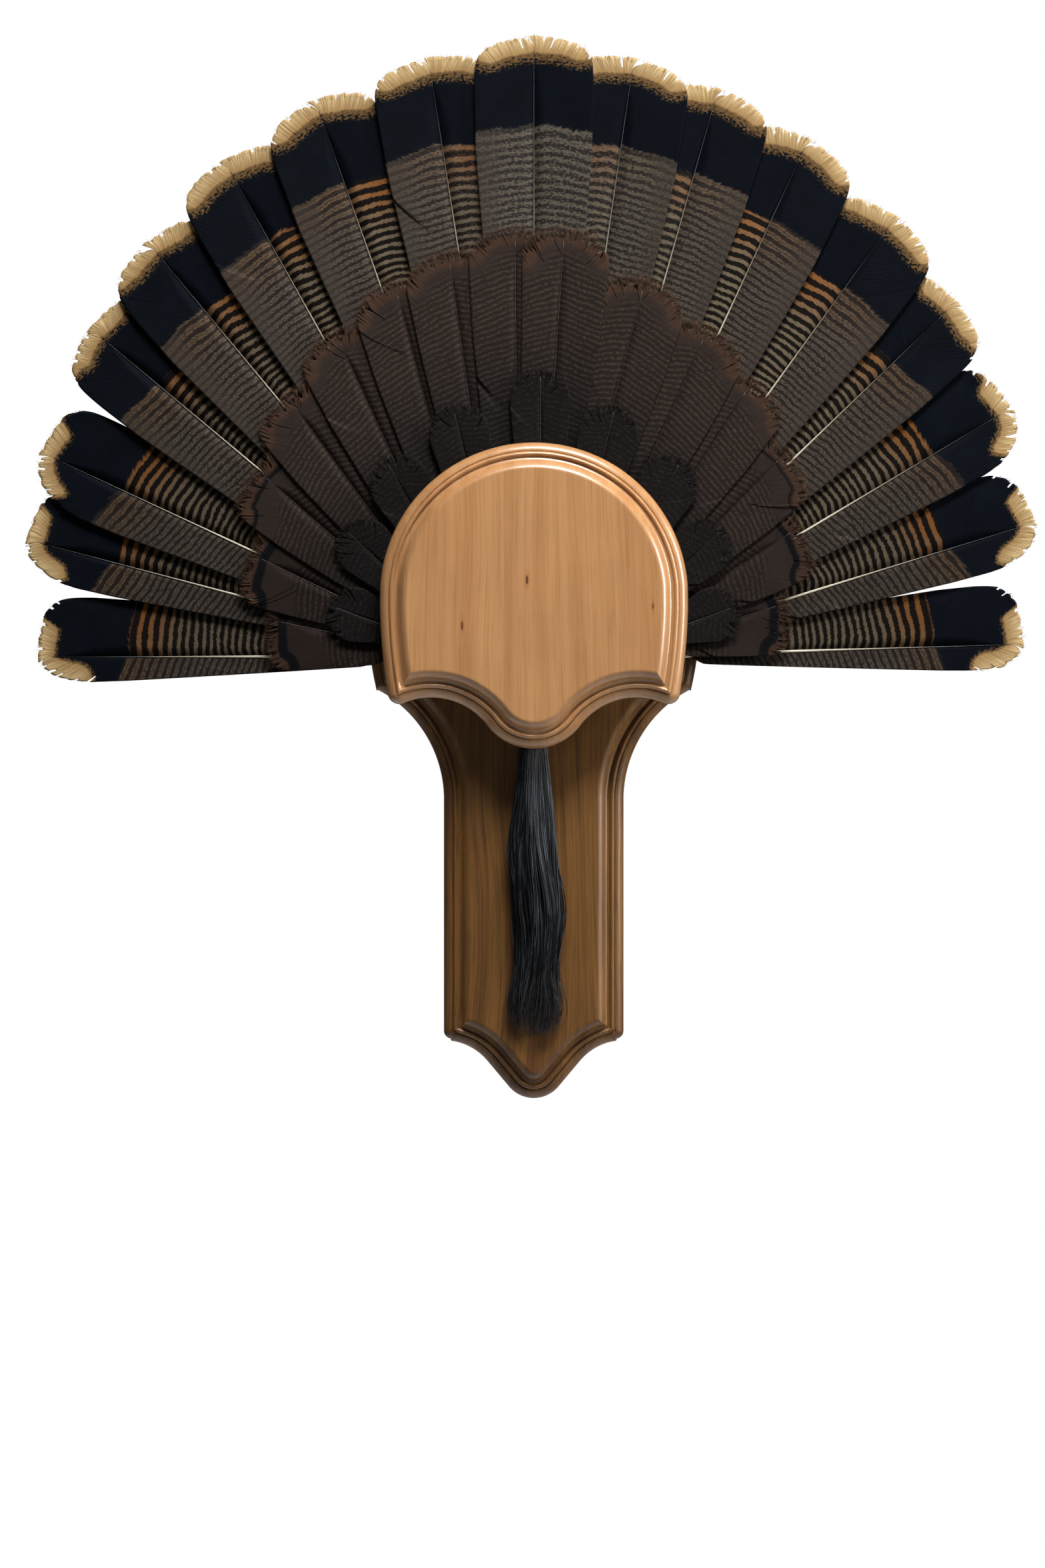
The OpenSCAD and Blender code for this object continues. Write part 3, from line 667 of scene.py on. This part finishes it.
def add_vane(feather, side, flat):
    """One side of a vane: barbs from the shaft to the outline, webbed together, with splits and frayed tufts."""
    kind, rng = feather.kind, feather.rng
    central = side == feather.centre_side
    drop = rng.uniform(0.08, 0.16) if central else rng.uniform(0.16, 0.27)
    outline, arc = vane_outline(feather, side, flat, drop * (0.35 + 0.65 * flat))
    total, nose = arc[-1], outline[-1, 0]
    places = barb_places(total, kind)
    count = len(places)

    def at(a):
        return np.column_stack([np.interp(a, arc, outline[:, 0]), np.interp(a, arc, outline[:, 1])])

    tip_share = ease((places - total + kind["tip_zone"]) / kind["tip_zone"])
    resting = at(places)
    roots = resting[:, 0] - kind["lead"] * resting[:, 1] - kind["root_end"] * tip_share
    roots = np.clip(roots, feather.s[2] - 1, nose - kind["root_end"])
    roots = np.maximum.accumulate(roots) + 0.002 * np.arange(count)
    ends, rise = split_barbs(places, total, kind, rng)
    tuft, reach, bend, cuts = tuft_barbs(places, total, kind, rng)

    # Each barb is a quadratic curve. Its last stretch, up to 9 mm, is the loose end.
    end = at(ends)
    root = np.column_stack([roots, np.zeros(count)])
    control = np.column_stack([roots + 0.36 * (end[:, 0] - roots), 0.62 * end[:, 1]])
    span = np.linalg.norm(end - root, axis=1)[:, None]
    tail = np.minimum(9.0, 0.6 * span)
    body, last = np.array([[0, 0.2, 0.42, 0.66, 0.86]]), np.array([[1, 0.66, 0.42, 0.2, 0]])
    v = np.hstack([body * (1 - tail / span), 1 - last * (tail / span)])
    curve = (
        ((1 - v) ** 2)[..., None] * root[:, None]
        + (2 * v * (1 - v))[..., None] * control[:, None]
        + (v ** 2)[..., None] * end[:, None]
    )
    rest = curve.copy()
    from_end = (1 - v) * span
    loose = np.clip(1 - from_end / np.maximum(tail, 1), 0, 1) ** 1.5

    # Barbs of a tuft draw together towards its end.
    for t in range(1, tuft.max() + 1):
        members = np.flatnonzero(tuft == t)
        centre = curve[members].mean(0)
        curve[members] += (centre[None] - curve[members]) * (kind["pull"] * loose[members])[..., None]
    heading = unit(end - control)
    square = np.column_stack([-heading[:, 1], heading[:, 0]])
    curve += (loose * reach[:, None])[..., None] * heading[:, None]
    curve += (loose * bend[:, None] * 4)[..., None] * square[:, None]
    # The tip is parted at the shaft: one vane draws back from it, and the other leans over its end.
    by_shaft = ease(1 - (total - places) / 11)[:, None] * loose * kind["part"] * rng.uniform(0.5, 1.1)
    curve += by_shaft[..., None] * (np.array([0.0, -1.0]) if central else np.array([-0.8, 0.7]))

    s, across = curve[..., 0], curve[..., 1]
    ripple = 0.14 * np.sin(s * 0.09 + feather.seed) * np.sin(np.pi * np.clip(v, 0, 1))
    wobble = rng.normal(0, 1, count)[:, None]
    lift = kind["camber"] * np.sin(np.pi * v * 0.9) + ripple + 0.04 * wobble * v + rise[:, None] * v ** 2
    if not central:
        middle_share = np.sin(np.pi * np.clip((s - feather.s[2]) / (nose - feather.s[2]), 0, 1))
        lift += kind["outer_lift"] * v ** 2 * middle_share ** 0.6
    lift += loose * ((kind["raise_tip"] + 0.25 * np.sin(tuft * 2.4)) * (tuft > 0))[:, None]

    zone = outline[arc > total - kind["tip_band"]]
    to_tip = np.linalg.norm(rest[:, :, None] - zone[None, None], axis=-1).min(-1) - loose * reach[:, None]
    coord = feather.coord(rest[..., 1], side, nose - s - 0.002 * across ** 2)
    row = np.broadcast_to(places[:, None] + (RIGHT_BARBS if side > 0 else 0), v.shape)
    barb = np.stack([row, v * span, to_tip], -1)
    keep = (from_end[:-1, :-1] + from_end[1:, :-1]) / 2 >= cuts[:, None]
    add_sheet(feather, feather.place(s, side * across, lift), keep, 0.12 - 0.07 * loose, coord, barb)

    hairs_from = rng.uniform(total - kind["tip_zone"] * 0.75, total, kind["hairs"] // 2)
    hair_roots = np.column_stack([np.interp(hairs_from, places, roots), np.zeros(len(hairs_from))])
    add_hairs(feather, side, hair_roots, at(hairs_from), nose)


def add_sheet(feather, middle, keep, half_thick, coord, barb):
    """A grid of points as a closed sheet: a front skin, a back skin and a rim round every opening."""
    offset = np.zeros_like(middle)
    offset[..., 1] = half_thick
    points = np.stack([middle - offset, middle + offset])
    total = half_thick.size
    index = np.arange(total).reshape(half_thick.shape)
    quads = np.stack([index[:-1, :-1][keep], index[1:, :-1][keep], index[1:, 1:][keep], index[:-1, 1:][keep]], -1)
    p = points[0].reshape(-1, 3)
    normal = np.cross(p[quads[:, 2]] - p[quads[:, 0]], p[quads[:, 3]] - p[quads[:, 1]])
    if normal[:, 1].sum() > 0:
        quads = quads[:, ::-1]
    edges = np.concatenate([quads[:, [i, (i + 1) % 4]] for i in range(4)])
    key = np.sort(edges, 1) @ np.array([total, 1])
    _, first, times = np.unique(key, return_index=True, return_counts=True)
    rim = edges[first[times == 1]]
    rims = np.stack([rim[:, 1], rim[:, 0], rim[:, 0] + total, rim[:, 1] + total], -1)
    flat = [False] * (2 * len(quads)) + [True] * len(rims)
    used = np.zeros(total, bool)
    used[quads] = True
    renumber = np.cumsum(np.tile(used, 2)) - 1
    faces = renumber[np.vstack([quads, quads[:, ::-1] + total, rims])].tolist()
    used = np.broadcast_to(used.reshape(half_thick.shape), points.shape[:3])
    trait = np.array([feather.trait, (*feather.trait[:2], 1.0)])[:, None, None]
    values = {"coord": coord, "barb": barb, "trait": trait}
    values = {name: np.broadcast_to(value, points.shape)[used] for name, value in values.items()}
    feather.shape.add(points[used], faces, 0, flat, **values)


def add_hairs(feather, side, root, end, nose):
    """Loose barb ends that stand past the webbed part of the tip."""
    kind, rng = feather.kind, feather.rng
    n = len(end)
    heading = unit(end - (root + (end - root) * np.array([0.36, 0.62])))
    turn = rng.normal(0, kind["hair_turn"], n)
    cos, sin = np.cos(turn), np.sin(turn)
    heading = np.column_stack([cos * heading[:, 0] - sin * heading[:, 1], sin * heading[:, 0] + cos * heading[:, 1]])
    square = np.column_stack([-heading[:, 1], heading[:, 0]])
    length = rng.uniform(*kind["hair_length"], n)[:, None]
    inside = rng.uniform(0.45, 0.95, n)[:, None] * length
    t = np.linspace(0, 1, 5)[None]
    run = t * length - inside
    curl = rng.normal(0, 0.16, n)[:, None] * length * t ** 2
    track = end[:, None] + run[..., None] * heading[:, None] + curl[..., None] * square[:, None]
    s, across = track[..., 0], track[..., 1]
    lift = 0.25 + rng.uniform(0.0, 0.5, n)[:, None] + kind["raise_tip"] * t * rng.uniform(0.3, 1.2, n)[:, None]
    radius = kind["hair_radius"] * (1 - 0.75 * t) * np.ones((n, 1))
    points, faces = tubes(feather.place(s, side * across, lift), radius, radius, 3, 0.5)
    own_row = np.broadcast_to(rng.uniform(0, 300, n)[:, None], run.shape)
    barb = np.stack([own_row, run + 20, -run], -1)
    coord = feather.coord(across, side, nose - s)
    feather.shape.add(points, faces, coord=coord[:, :, None], barb=barb[:, :, None], trait=feather.trait)


def add_shaft(feather):
    """The quill and the shaft, tapering from the base to near the tip."""
    kind, levels = feather.kind, feather.s
    end = feather.length + kind["nose"] - kind["root_end"] + 3
    s = np.r_[levels[:5], np.linspace(levels[5], end, 26)]
    quill = np.minimum(feather.half[-1], feather.half[1])
    deep = feather.read(feather.ridge, s)
    bare = 1 - ease((s - levels[1]) / (levels[4] - levels[1]))
    taper = 1 - 0.75 * ease((s - levels[4]) / (end - levels[4]))
    across = bare * np.interp(s, levels[:3], quill[:3]) + (1 - bare) * np.maximum(1.25 * deep * taper, 0.16)
    deep = np.maximum(deep * (0.4 + 0.6 * taper), 0.14)
    path = feather.place(s, np.zeros_like(s), 0.1 + 0.12 * (1 - bare))[None]
    sides = 10
    points, faces = tubes(path, across[None], deep[None], sides)
    lateral = across[:, None] * np.cos(2 * np.pi * np.arange(sides) / sides)
    distance = np.repeat((end + 9 - s)[:, None], sides, 1)
    coord = np.stack([lateral, distance, np.full_like(lateral, feather.seed)], -1)
    feather.shape.add(points, faces, 1, coord=coord, trait=feather.trait)


def make_feather(node, kind, seed, materials, grey=0.0):
    """A whole feather that stands for its CAD node."""
    feather = Feather(node, kind, seed, grey)
    round_at, flat_at = kind["flat_at"]
    flat = float(ease((round_at - feather.from_vertical) / (round_at - flat_at)))
    for side in (-1, 1):
        add_vane(feather, side, max(flat, kind["square_inside"]) if side == feather.centre_side else flat)
    add_shaft(feather)
    piece = feather.shape.build("feather_" + node, materials)
    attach(piece, "mount")
    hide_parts(node)


def make_feathers():
    tail = [tail_vane_material(), tail_shaft_material()]
    covert_shaft = covert_shaft_material()
    covert = [covert_vane_material(), covert_shaft]
    inner = [inner_vane_material(), covert_shaft]
    greys = {"centre": 1.0, "under": 1.0, "l8": 0.35, "r8": 0.6, "r7": 0.3}
    for seed, node in enumerate(sorted(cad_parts)):
        if node.startswith("tail_feather_"):
            place = node.rsplit("_", 1)[1]
            reach = FRINGE_REACH[place[0]][int(place[1:]) - 1] if place[1:].isdigit() else 3.0
            make_feather(node, dict(TAIL, nose=reach), seed, tail, greys.get(place, 0.0))
        elif node.startswith("inner_covert_"):
            make_feather(node, INNER, seed, inner)
        elif node.startswith("covert_"):
            make_feather(node, COVERT, seed, covert)


# ---------------------------------------------------------------- the two boards

# The routed edge as (distance in from the outline, height above the back), for a 19 mm board:
# a roundover, a groove, a bead, a flat cove and an ogee up to the face.
MOULDING = [
    (0.7, 0.0), (0.12, 0.35), (0.0, 1.0), (0.0, 4.0), (0.0, 6.4), (0.15, 7.5), (0.6, 8.8), (1.3, 9.95),
    (2.3, 11.0), (3.5, 11.85), (4.7, 12.35), (5.3, 12.35), (5.5, 12.0), (5.7, 12.0), (5.85, 12.6), (6.2, 13.4),
    (6.8, 13.95), (7.4, 14.1), (8.0, 13.95), (8.5, 13.4), (8.7, 12.9), (9.0, 12.75), (9.8, 12.85), (10.6, 13.2),
    (11.3, 13.8), (11.9, 14.7), (12.4, 15.6), (12.9, 16.35), (13.5, 17.05), (14.1, 17.6), (14.8, 18.15),
    (15.5, 18.6), (16.1, 18.87), (16.7, 19.0), (17.4, 19.0),
]
PANEL_THICK = 19.0
COVER_BACK = 35.0
COVER_SCREWS = [(45.0, -56.5), (-45.0, -56.5), (0.0, -38.0)]
BUTT_SCREWS = [(26.0, -40.0), (-26.0, -40.0)]
HANGER_SCREWS = [(0.0, 43.0), (0.0, 31.0)]
BEARD_SCREW = (1.0, -70.0)
# Radii: a long screw's head and shank, and the pilot holes of large and small screws.
HEAD, SHANK, PILOT, SMALL_PILOT = 4.5, 2.2, 2.05, 1.8


def outline_loop(node, y):
    """The outline of a CAD board's back face, as ordered points (x, z) in millimetres, anticlockwise."""
    bm = bmesh.new()
    bm.from_mesh(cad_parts[node].data)
    bmesh.ops.remove_doubles(bm, verts=bm.verts, dist=1e-6)
    bm.normal_update()
    follows = {}
    for edge in bm.edges:
        if any(abs(v.co.y - y) > 1e-5 for v in edge.verts) or len(edge.link_faces) != 2:
            continue
        if sum(abs(f.normal.y) > 0.99 for f in edge.link_faces) == 1:
            a, b = edge.verts
            follows.setdefault(a, []).append(b)
            follows.setdefault(b, []).append(a)
    start = min(follows, key=lambda v: v.co.z)
    loop, previous, here = [start], None, start
    while True:
        previous, here = here, next(v for v in follows[here] if v is not previous)
        if here is start:
            break
        loop.append(here)
    points = np.array([[v.co.x, v.co.z] for v in loop]) / MM
    bm.free()
    x, z = points.T
    area = np.sum(x * np.roll(z, -1) - np.roll(x, -1) * z) / 2
    return points if area > 0 else points[::-1]


def rounded(loop, spacing):
    """The loop with more points, on a smooth curve except along straight sides and at corners."""
    n = len(loop)
    before, after = np.roll(loop, 1, 0), np.roll(loop, -1, 0)
    turn = np.arccos(np.clip(np.sum(unit(loop - before) * unit(after - loop), 1), -1, 1))
    corner = turn > math.radians(24)
    out = []
    for i in range(n):
        p0, p1, p2, p3 = loop[i - 1], loop[i], loop[(i + 1) % n], loop[(i + 2) % n]
        length = np.linalg.norm(p2 - p1)
        steps = max(1, int(round(length / spacing)))
        t = np.arange(steps)[:, None] / steps
        if length > 9 or corner[i] or corner[(i + 1) % n]:
            out.append(p1 + (p2 - p1) * t)
            continue
        m1, m2 = unit(p2 - p0) * length, unit(p3 - p1) * length
        out.append(
            (2 * t ** 3 - 3 * t ** 2 + 1) * p1 + (t ** 3 - 2 * t ** 2 + t) * m1
            + (-2 * t ** 3 + 3 * t ** 2) * p2 + (t ** 3 - t ** 2) * m2
        )
    return np.vstack(out)


def inset_loop(loop, by):
    """The loop moved inwards. Points that would cross at a corner gather on its mitre."""
    ahead, behind = np.roll(loop, -1, 0), np.roll(loop, 1, 0)
    heading = unit(ahead - behind)
    moved = loop + by * np.column_stack([-heading[:, 1], heading[:, 0]])
    if by < 0.3:
        return moved
    run = ahead - loop
    share = np.einsum("ijk,jk->ij", moved[:, None] - loop[None], run) / np.sum(run * run, 1)
    foot = loop[None] + np.clip(share, 0, 1)[..., None] * run[None]
    good = np.linalg.norm(moved[:, None] - foot, axis=-1).min(1) > by - 0.03
    n = len(loop)
    for a in [i for i in range(n) if good[i] and not good[(i + 1) % n]]:
        crossed = []
        b = (a + 1) % n
        while not good[b]:
            crossed.append(b)
            b = (b + 1) % n
        across = heading[a][0] * heading[b][1] - heading[a][1] * heading[b][0]
        if abs(across) > 0.05:
            gap = moved[b] - moved[a]
            mitre = moved[a] + (gap[0] * heading[b][1] - gap[1] * heading[b][0]) / across * heading[a]
        else:
            mitre = (moved[a] + moved[b]) / 2
        moved[crossed] = mitre
    return moved


def ring(plan, depth):
    return np.column_stack([plan[:, 0], np.full(len(plan), -depth), plan[:, 1]])


def rings_mesh(name, rings):
    """A closed mesh from rings of equal count, capped at both ends."""
    count = len(rings[0])
    bm = bmesh.new()
    verts = [bm.verts.new(p) for p in np.vstack(rings) * MM]
    for start in range(0, len(verts) - count, count):
        for i in range(count):
            a, b = start + i, start + (i + 1) % count
            bm.faces.new([verts[a], verts[b], verts[b + count], verts[a + count]])
    bm.faces.new(verts[:count][::-1])
    bm.faces.new(verts[-count:])
    bmesh.ops.remove_doubles(bm, verts=bm.verts, dist=2e-5)
    bmesh.ops.recalc_face_normals(bm, faces=bm.faces)
    mesh = bpy.data.meshes.new(name)
    bm.to_mesh(mesh)
    bm.free()
    return add_to_scene(name, mesh)


def cutter(outline, *levels):
    """A closed solid for cutting: an outline (x, z), scaled about its middle, at (depth, scale) levels in mm."""
    middle = outline.mean(0)
    return rings_mesh("cutter", [ring(middle + (outline - middle) * scale, depth) for depth, scale in levels])


def arc_points(x, z, radius, turn):
    return np.column_stack([x + radius * np.cos(turn), z + radius * np.sin(turn)])


def circle(x, z, radius, count=24):
    return arc_points(x, z, radius, 2 * np.pi * np.arange(count) / count)


def rounded_box(half_x, low, high, radius):
    x, top, bottom = half_x - radius, high - radius, low + radius
    quarter = np.radians(np.linspace(0, 90, 9))
    corners = ((x, top), (-x, top), (-x, bottom), (x, bottom))
    return np.vstack([arc_points(*place, radius, quarter + i * np.pi / 2) for i, place in enumerate(corners)])


def apply_modifiers(piece):
    """Replaces a piece's mesh by what its modifiers make of it."""
    graph = bpy.context.evaluated_depsgraph_get()
    mesh = bpy.data.meshes.new_from_object(piece.evaluated_get(graph))
    piece.modifiers.clear()
    piece.data = mesh


def dress(mesh, material):
    """Smooth faces, all in one material."""
    mesh.polygons.foreach_set("use_smooth", [True] * len(mesh.polygons))
    mesh.materials.clear()
    mesh.materials.append(material)


def make_board(name, node, back_depth, material, cutters):
    """A moulded board over a CAD board's outline, with holes cut in it."""
    loop = rounded(outline_loop(node, -back_depth * MM), 1.6)
    piece = rings_mesh(name, [ring(inset_loop(loop, by), back_depth + height) for by, height in MOULDING])
    for tool in cutters:
        modifier = piece.modifiers.new("cut", "BOOLEAN")
        modifier.operation = "DIFFERENCE"
        modifier.solver = "EXACT"
        modifier.object = tool
    apply_modifiers(piece)
    for tool in cutters:
        bpy.data.objects.remove(tool)
    dress(piece.data, material)
    piece.data.set_sharp_from_angle(angle=math.radians(38))
    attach(piece, "mount")
    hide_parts(node)


def make_boards():
    walnut = wood_material(
        "walnut", (srgb(132, 91, 42), srgb(100, 65, 29), srgb(58, 35, 16)), 0.5, 0.05, 34.0, 0.45, 0.45, 0.32)
    cherry = wood_material(
        "cherry", (srgb(194, 145, 97), srgb(180, 130, 83), srgb(150, 99, 58)), 0.34, 0.0, 16.0, 0.4, 1.0, 0.2,
        knots=((-4.3, 9.8, 0.9, 3.2), (-44.0, -18.3, 0.7, 3.2), (73.0, -6.2, 0.6, 2.4)),
    )
    cutters = [cutter(rounded_box(15.0, 20.0, 74.0, 6.0), (-1, 1), (8.0, 1))]
    countersink = ((-1, 1), (0.3, 1), (3.0, SHANK / HEAD), (25, SHANK / HEAD))
    cutters += [cutter(circle(x, z, HEAD, 40), *countersink) for x, z in COVER_SCREWS]
    for screws, radius, low, high in (
        (BUTT_SCREWS, PILOT, 7, 25), (HANGER_SCREWS, SMALL_PILOT, 7, 17), ([BEARD_SCREW], PILOT, 8, 25),
    ):
        cutters += [cutter(circle(x, z, radius), (low, 1), (high, 1)) for x, z in screws]
    make_board("board_back_panel", "back_panel", 0.0, walnut, cutters)
    cutters = [cutter(circle(x, z, PILOT), (30, 1), (46.5, 1)) for x, z in COVER_SCREWS]
    make_board("board_cover_plate", "cover_plate", COVER_BACK, cherry, cutters)


# ---------------------------------------------------------------- the beard

def beard_sections():
    """The CAD beard's rings from the top down, in millimetres: height, then middle and half size in X and Y."""
    co = np.array([v.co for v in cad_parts["beard"].data.vertices]) / MM
    rows = []
    for z in np.unique(np.round(co[:, 2], 1))[::-1]:
        held = co[np.abs(co[:, 2] - z) < 0.2]
        low, high = held.min(0), held.max(0)
        middle, half = (low + high) / 2, (high - low) / 2
        rows.append([z, middle[0], half[0], middle[1], half[1]])
    return np.array(rows).T


def disc_points(rng, count, low):
    """Random points in a unit disc, fewer near its middle as low grows."""
    turn = rng.uniform(0, 2 * np.pi, count)
    out = np.sqrt(rng.uniform(low, 1.0, count))
    return np.column_stack([out * np.cos(turn), out * np.sin(turn)])


def make_beard():
    """Several hundred tapered bristles round a dark core, gathered into locks that wander a little."""
    z_ring, *sections = beard_sections()
    top, bottom = z_ring[0] + 1.5, z_ring[-1]

    def section(z):
        return [np.interp(-z, -z_ring, values) for values in sections]

    rng = np.random.default_rng(77)
    n, lock_count = 720, 28
    disc, locks = disc_points(rng, n, 0.12), disc_points(rng, lock_count, 0.05)
    own = np.argmin(np.linalg.norm(disc[:, None] - locks[None], axis=-1), 1)
    lock_end = rng.uniform(0.93, 1.01, lock_count)
    short = rng.uniform(0, 1, n)
    reach = lock_end[own] * (1 - 0.22 * short ** 4) * rng.uniform(0.965, 1.01, n)
    reach = np.clip(reach, 0.6, 1.0)[:, None]

    share = np.linspace(0, 1, 22)[None] * np.ones((n, 1))
    t = share * reach
    z = top + (bottom - top) * t
    gather = 0.3 * ease((t - 0.12) / 0.7) + 0.3 * ease((share - 0.88) / 0.12)
    turns = t * rng.uniform(0.8, 1.9, lock_count)[own][:, None]
    wander = 0.12 * np.sin(2 * np.pi * turns + own[:, None] * 1.7)
    place = disc[:, None] * (1 - gather)[..., None] + locks[own][:, None] * gather[..., None]
    place[..., 0] += wander * ease(t * 3)
    place = place / np.maximum(1.0, np.linalg.norm(place, axis=-1, keepdims=True))
    place[..., 0] *= 1 + 0.45 * ease((t - 0.78) / 0.2)
    x_middle, wide, y_middle, deep = section(z)
    wave = rng.uniform(28, 60, n)[:, None]
    phase = rng.uniform(0, 2 * np.pi, n)[:, None]
    loose = ease(t * 2.5) * (0.25 + 0.55 * ease((t - 0.5) * 2))
    x = x_middle + wide * place[..., 0]
    x += loose * rng.uniform(0.2, 1.0, n)[:, None] * np.sin(2 * np.pi * z / wave + phase)
    x += rng.normal(0, 1.7, n)[:, None] * ease((share - 0.72) / 0.28) ** 2
    y = y_middle + deep * place[..., 1] + 0.5 * loose * np.sin(2 * np.pi * z / (wave * 0.8) + phase * 2)
    paths = np.stack([x, np.minimum(y, -PANEL_THICK - 0.7), z], -1)
    radius = 0.40 * (1 - 0.7 * ease((share - 0.25) / 0.75)) * rng.uniform(0.75, 1.2, n)[:, None]
    sides = 4
    points, faces = tubes(paths, radius, radius, sides, 0.4)
    coord = np.zeros_like(points)
    coord[..., 0] = np.arange(sides)
    coord[..., 1] = (top - z)[..., None]
    coord[..., 2] = rng.uniform(0, 50, n)[:, None, None]
    shape = Shape()
    shape.add(points, faces, coord=coord)

    t = np.linspace(0.0, 0.86, 16)
    z = top + (bottom - top) * t
    x_middle, wide, y_middle, deep = section(z)
    shrink = 0.62 * (1 - 0.75 * ease((t - 0.5) / 0.36))
    core = np.stack([x_middle, y_middle, z], -1)[None]
    points, faces = tubes(core, (wide * shrink)[None], (deep * shrink)[None], 16)
    coord = np.zeros_like(points)
    coord[..., 1] = (top - z)[:, None]
    shape.add(points, faces, coord=coord)
    piece = shape.build("beard_bristles", [bristle_material()])
    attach(piece, "beard_body")
    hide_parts("beard")


def make_knot(material):
    """The beard's dried knot of skin: the CAD knot, remeshed, then wrinkled."""
    piece = add_to_scene("beard_knot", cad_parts["beard_butt"].data.copy())
    remesh = piece.modifiers.new("remesh", "REMESH")
    remesh.mode = "VOXEL"
    remesh.voxel_size = 0.0006
    piece.modifiers.new("smooth", "SMOOTH").iterations = 4
    apply_modifiers(piece)
    x0, z0 = BEARD_SCREW
    for vert in piece.data.vertices:
        x, y, z = vert.co / MM
        held = float(ease((math.hypot(x - x0, z - z0) - 2.6) / 3.0))
        folds = noise.noise(Vector((x * 0.55, y * 0.5, z * 0.16)))
        pits = noise.noise(Vector((x * 0.9, y * 0.9, z * 0.9)))
        vert.co -= vert.normal * (0.35 * abs(folds) + 0.12 * pits + 0.1) * held * MM
    dress(piece.data, material)
    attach(piece, "beard_body")
    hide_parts("beard_butt")


# ---------------------------------------------------------------- CAD nodes that stay

def dress_nodes():
    """Gives the hardware and the hidden wood their own node materials."""
    spacer = wood_material(
        "spacer_wood", (srgb(198, 162, 116), srgb(180, 142, 96), srgb(142, 104, 66)), 0.4, 0.0, 30.0, 0.6, 0.0)
    plated = metal_material("plated_screw", srgb(196, 186, 142), srgb(150, 140, 112), 0.32)
    steel = metal_material("steel_screw", srgb(176, 176, 174), srgb(128, 128, 130), 0.34)
    brass = metal_material("brass_hanger", srgb(206, 172, 98), srgb(146, 116, 66), 0.3)
    brass_screw = metal_material("brass_screw", srgb(198, 164, 96), srgb(138, 110, 66), 0.34)
    filler = hide_material("hardened_filler", srgb(112, 88, 66), srgb(58, 42, 32), 1.0, 0.0006)
    wanted = {
        "left_spacer": spacer, "right_spacer": spacer, "cover_screws": plated, "butt_screws": steel,
        "beard_screw": steel, "beard_washers": steel, "hanger_strap": brass, "hanger_ring": brass,
        "hanger_screws": brass_screw, "tail_butt": filler,
    }
    for node, material in wanted.items():
        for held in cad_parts[node].material_slots:
            held.material = material


# ---------------------------------------------------------------- floor, light and camera

# Name, place, size, power, spread in degrees, and colour. floor_wash points down, the others at the fan.
LIGHTS = (
    ("key", (0.4, -1.15, 2.15), (1.2, 0.6), 21, 80, (1.0, 0.985, 0.96)),
    ("strip", (1.6, -0.5, 0.35), (0.2, 1.0), 2.2, 50, (1.0, 1.0, 1.0)),
    ("fill", (-2.3, -1.7, 0.4), (1.4, 1.4), 0.3, 80, (0.96, 0.98, 1.0)),
    ("back_light", (0.6, 2.1, 1.5), (1.4, 1.2), 46, 180, (1.0, 1.0, 1.0)),
    ("floor_wash", (1.0, -2.2, 0.9), (1.2, 1.2), 5, 100, (1.0, 1.0, 1.0)),
)


def make_stage():
    bpy.ops.mesh.primitive_circle_add(vertices=96, radius=2.3, fill_type="NGON", location=(0, 0, -1.6))
    floor = bpy.context.object
    floor.name = "studio_floor"
    floor.data.materials.append(floor_material())

    # The world is white to the camera and nearly black to everything else.
    world = bpy.data.worlds.new("studio_world")
    bpy.context.scene.world = world
    world.use_nodes = True
    nodes, links = world.node_tree.nodes, world.node_tree.links
    path, blend = nodes.new("ShaderNodeLightPath"), nodes.new("ShaderNodeMix")
    blend.data_type = "RGBA"
    blend.inputs[6].default_value = (0.04, 0.041, 0.042, 1)
    blend.inputs[7].default_value = (1, 1, 1, 1)
    links.new(path.outputs["Is Camera Ray"], blend.inputs[0])
    links.new(blend.outputs[2], nodes["Background"].inputs["Color"])

    for name, place, size, power, spread, colour in LIGHTS:
        light = bpy.data.lights.new(name, "AREA")
        light.shape = "RECTANGLE"
        light.size, light.size_y = size
        light.energy = power
        light.spread = math.radians(spread)
        light.color = colour
        lamp = add_to_scene(name, light)
        lamp.location = place
        aim = Vector((0, 0, -1)) if name == "floor_wash" else Vector((0, -0.02, 0)) - Vector(place)
        lamp.rotation_euler = aim.to_track_quat("-Z", "Y").to_euler()
        lamp.visible_camera = False

    scene = bpy.context.scene
    scene.view_settings.view_transform = "Standard"
    scene.view_settings.look = "None"


def make_camera():
    """Straight on, with the object in the upper part of the tall frame, as in the photograph."""
    lens = bpy.data.cameras.new("camera")
    lens.lens = 100
    lens.sensor_width = 36
    camera = add_to_scene("camera", lens)
    frame_height = 0.969
    fan_plane = -0.03
    camera.location = (-0.007, fan_plane - frame_height * lens.lens / lens.sensor_width, -0.1152)
    camera.rotation_euler = (math.radians(90), 0, 0)
    bpy.context.scene.camera = camera


make_camera()
make_stage()
make_feathers()
make_boards()
make_beard()
make_knot(hide_material("dried_skin", srgb(98, 72, 54), srgb(46, 32, 24), 1.4, 0.0003))
dress_nodes()
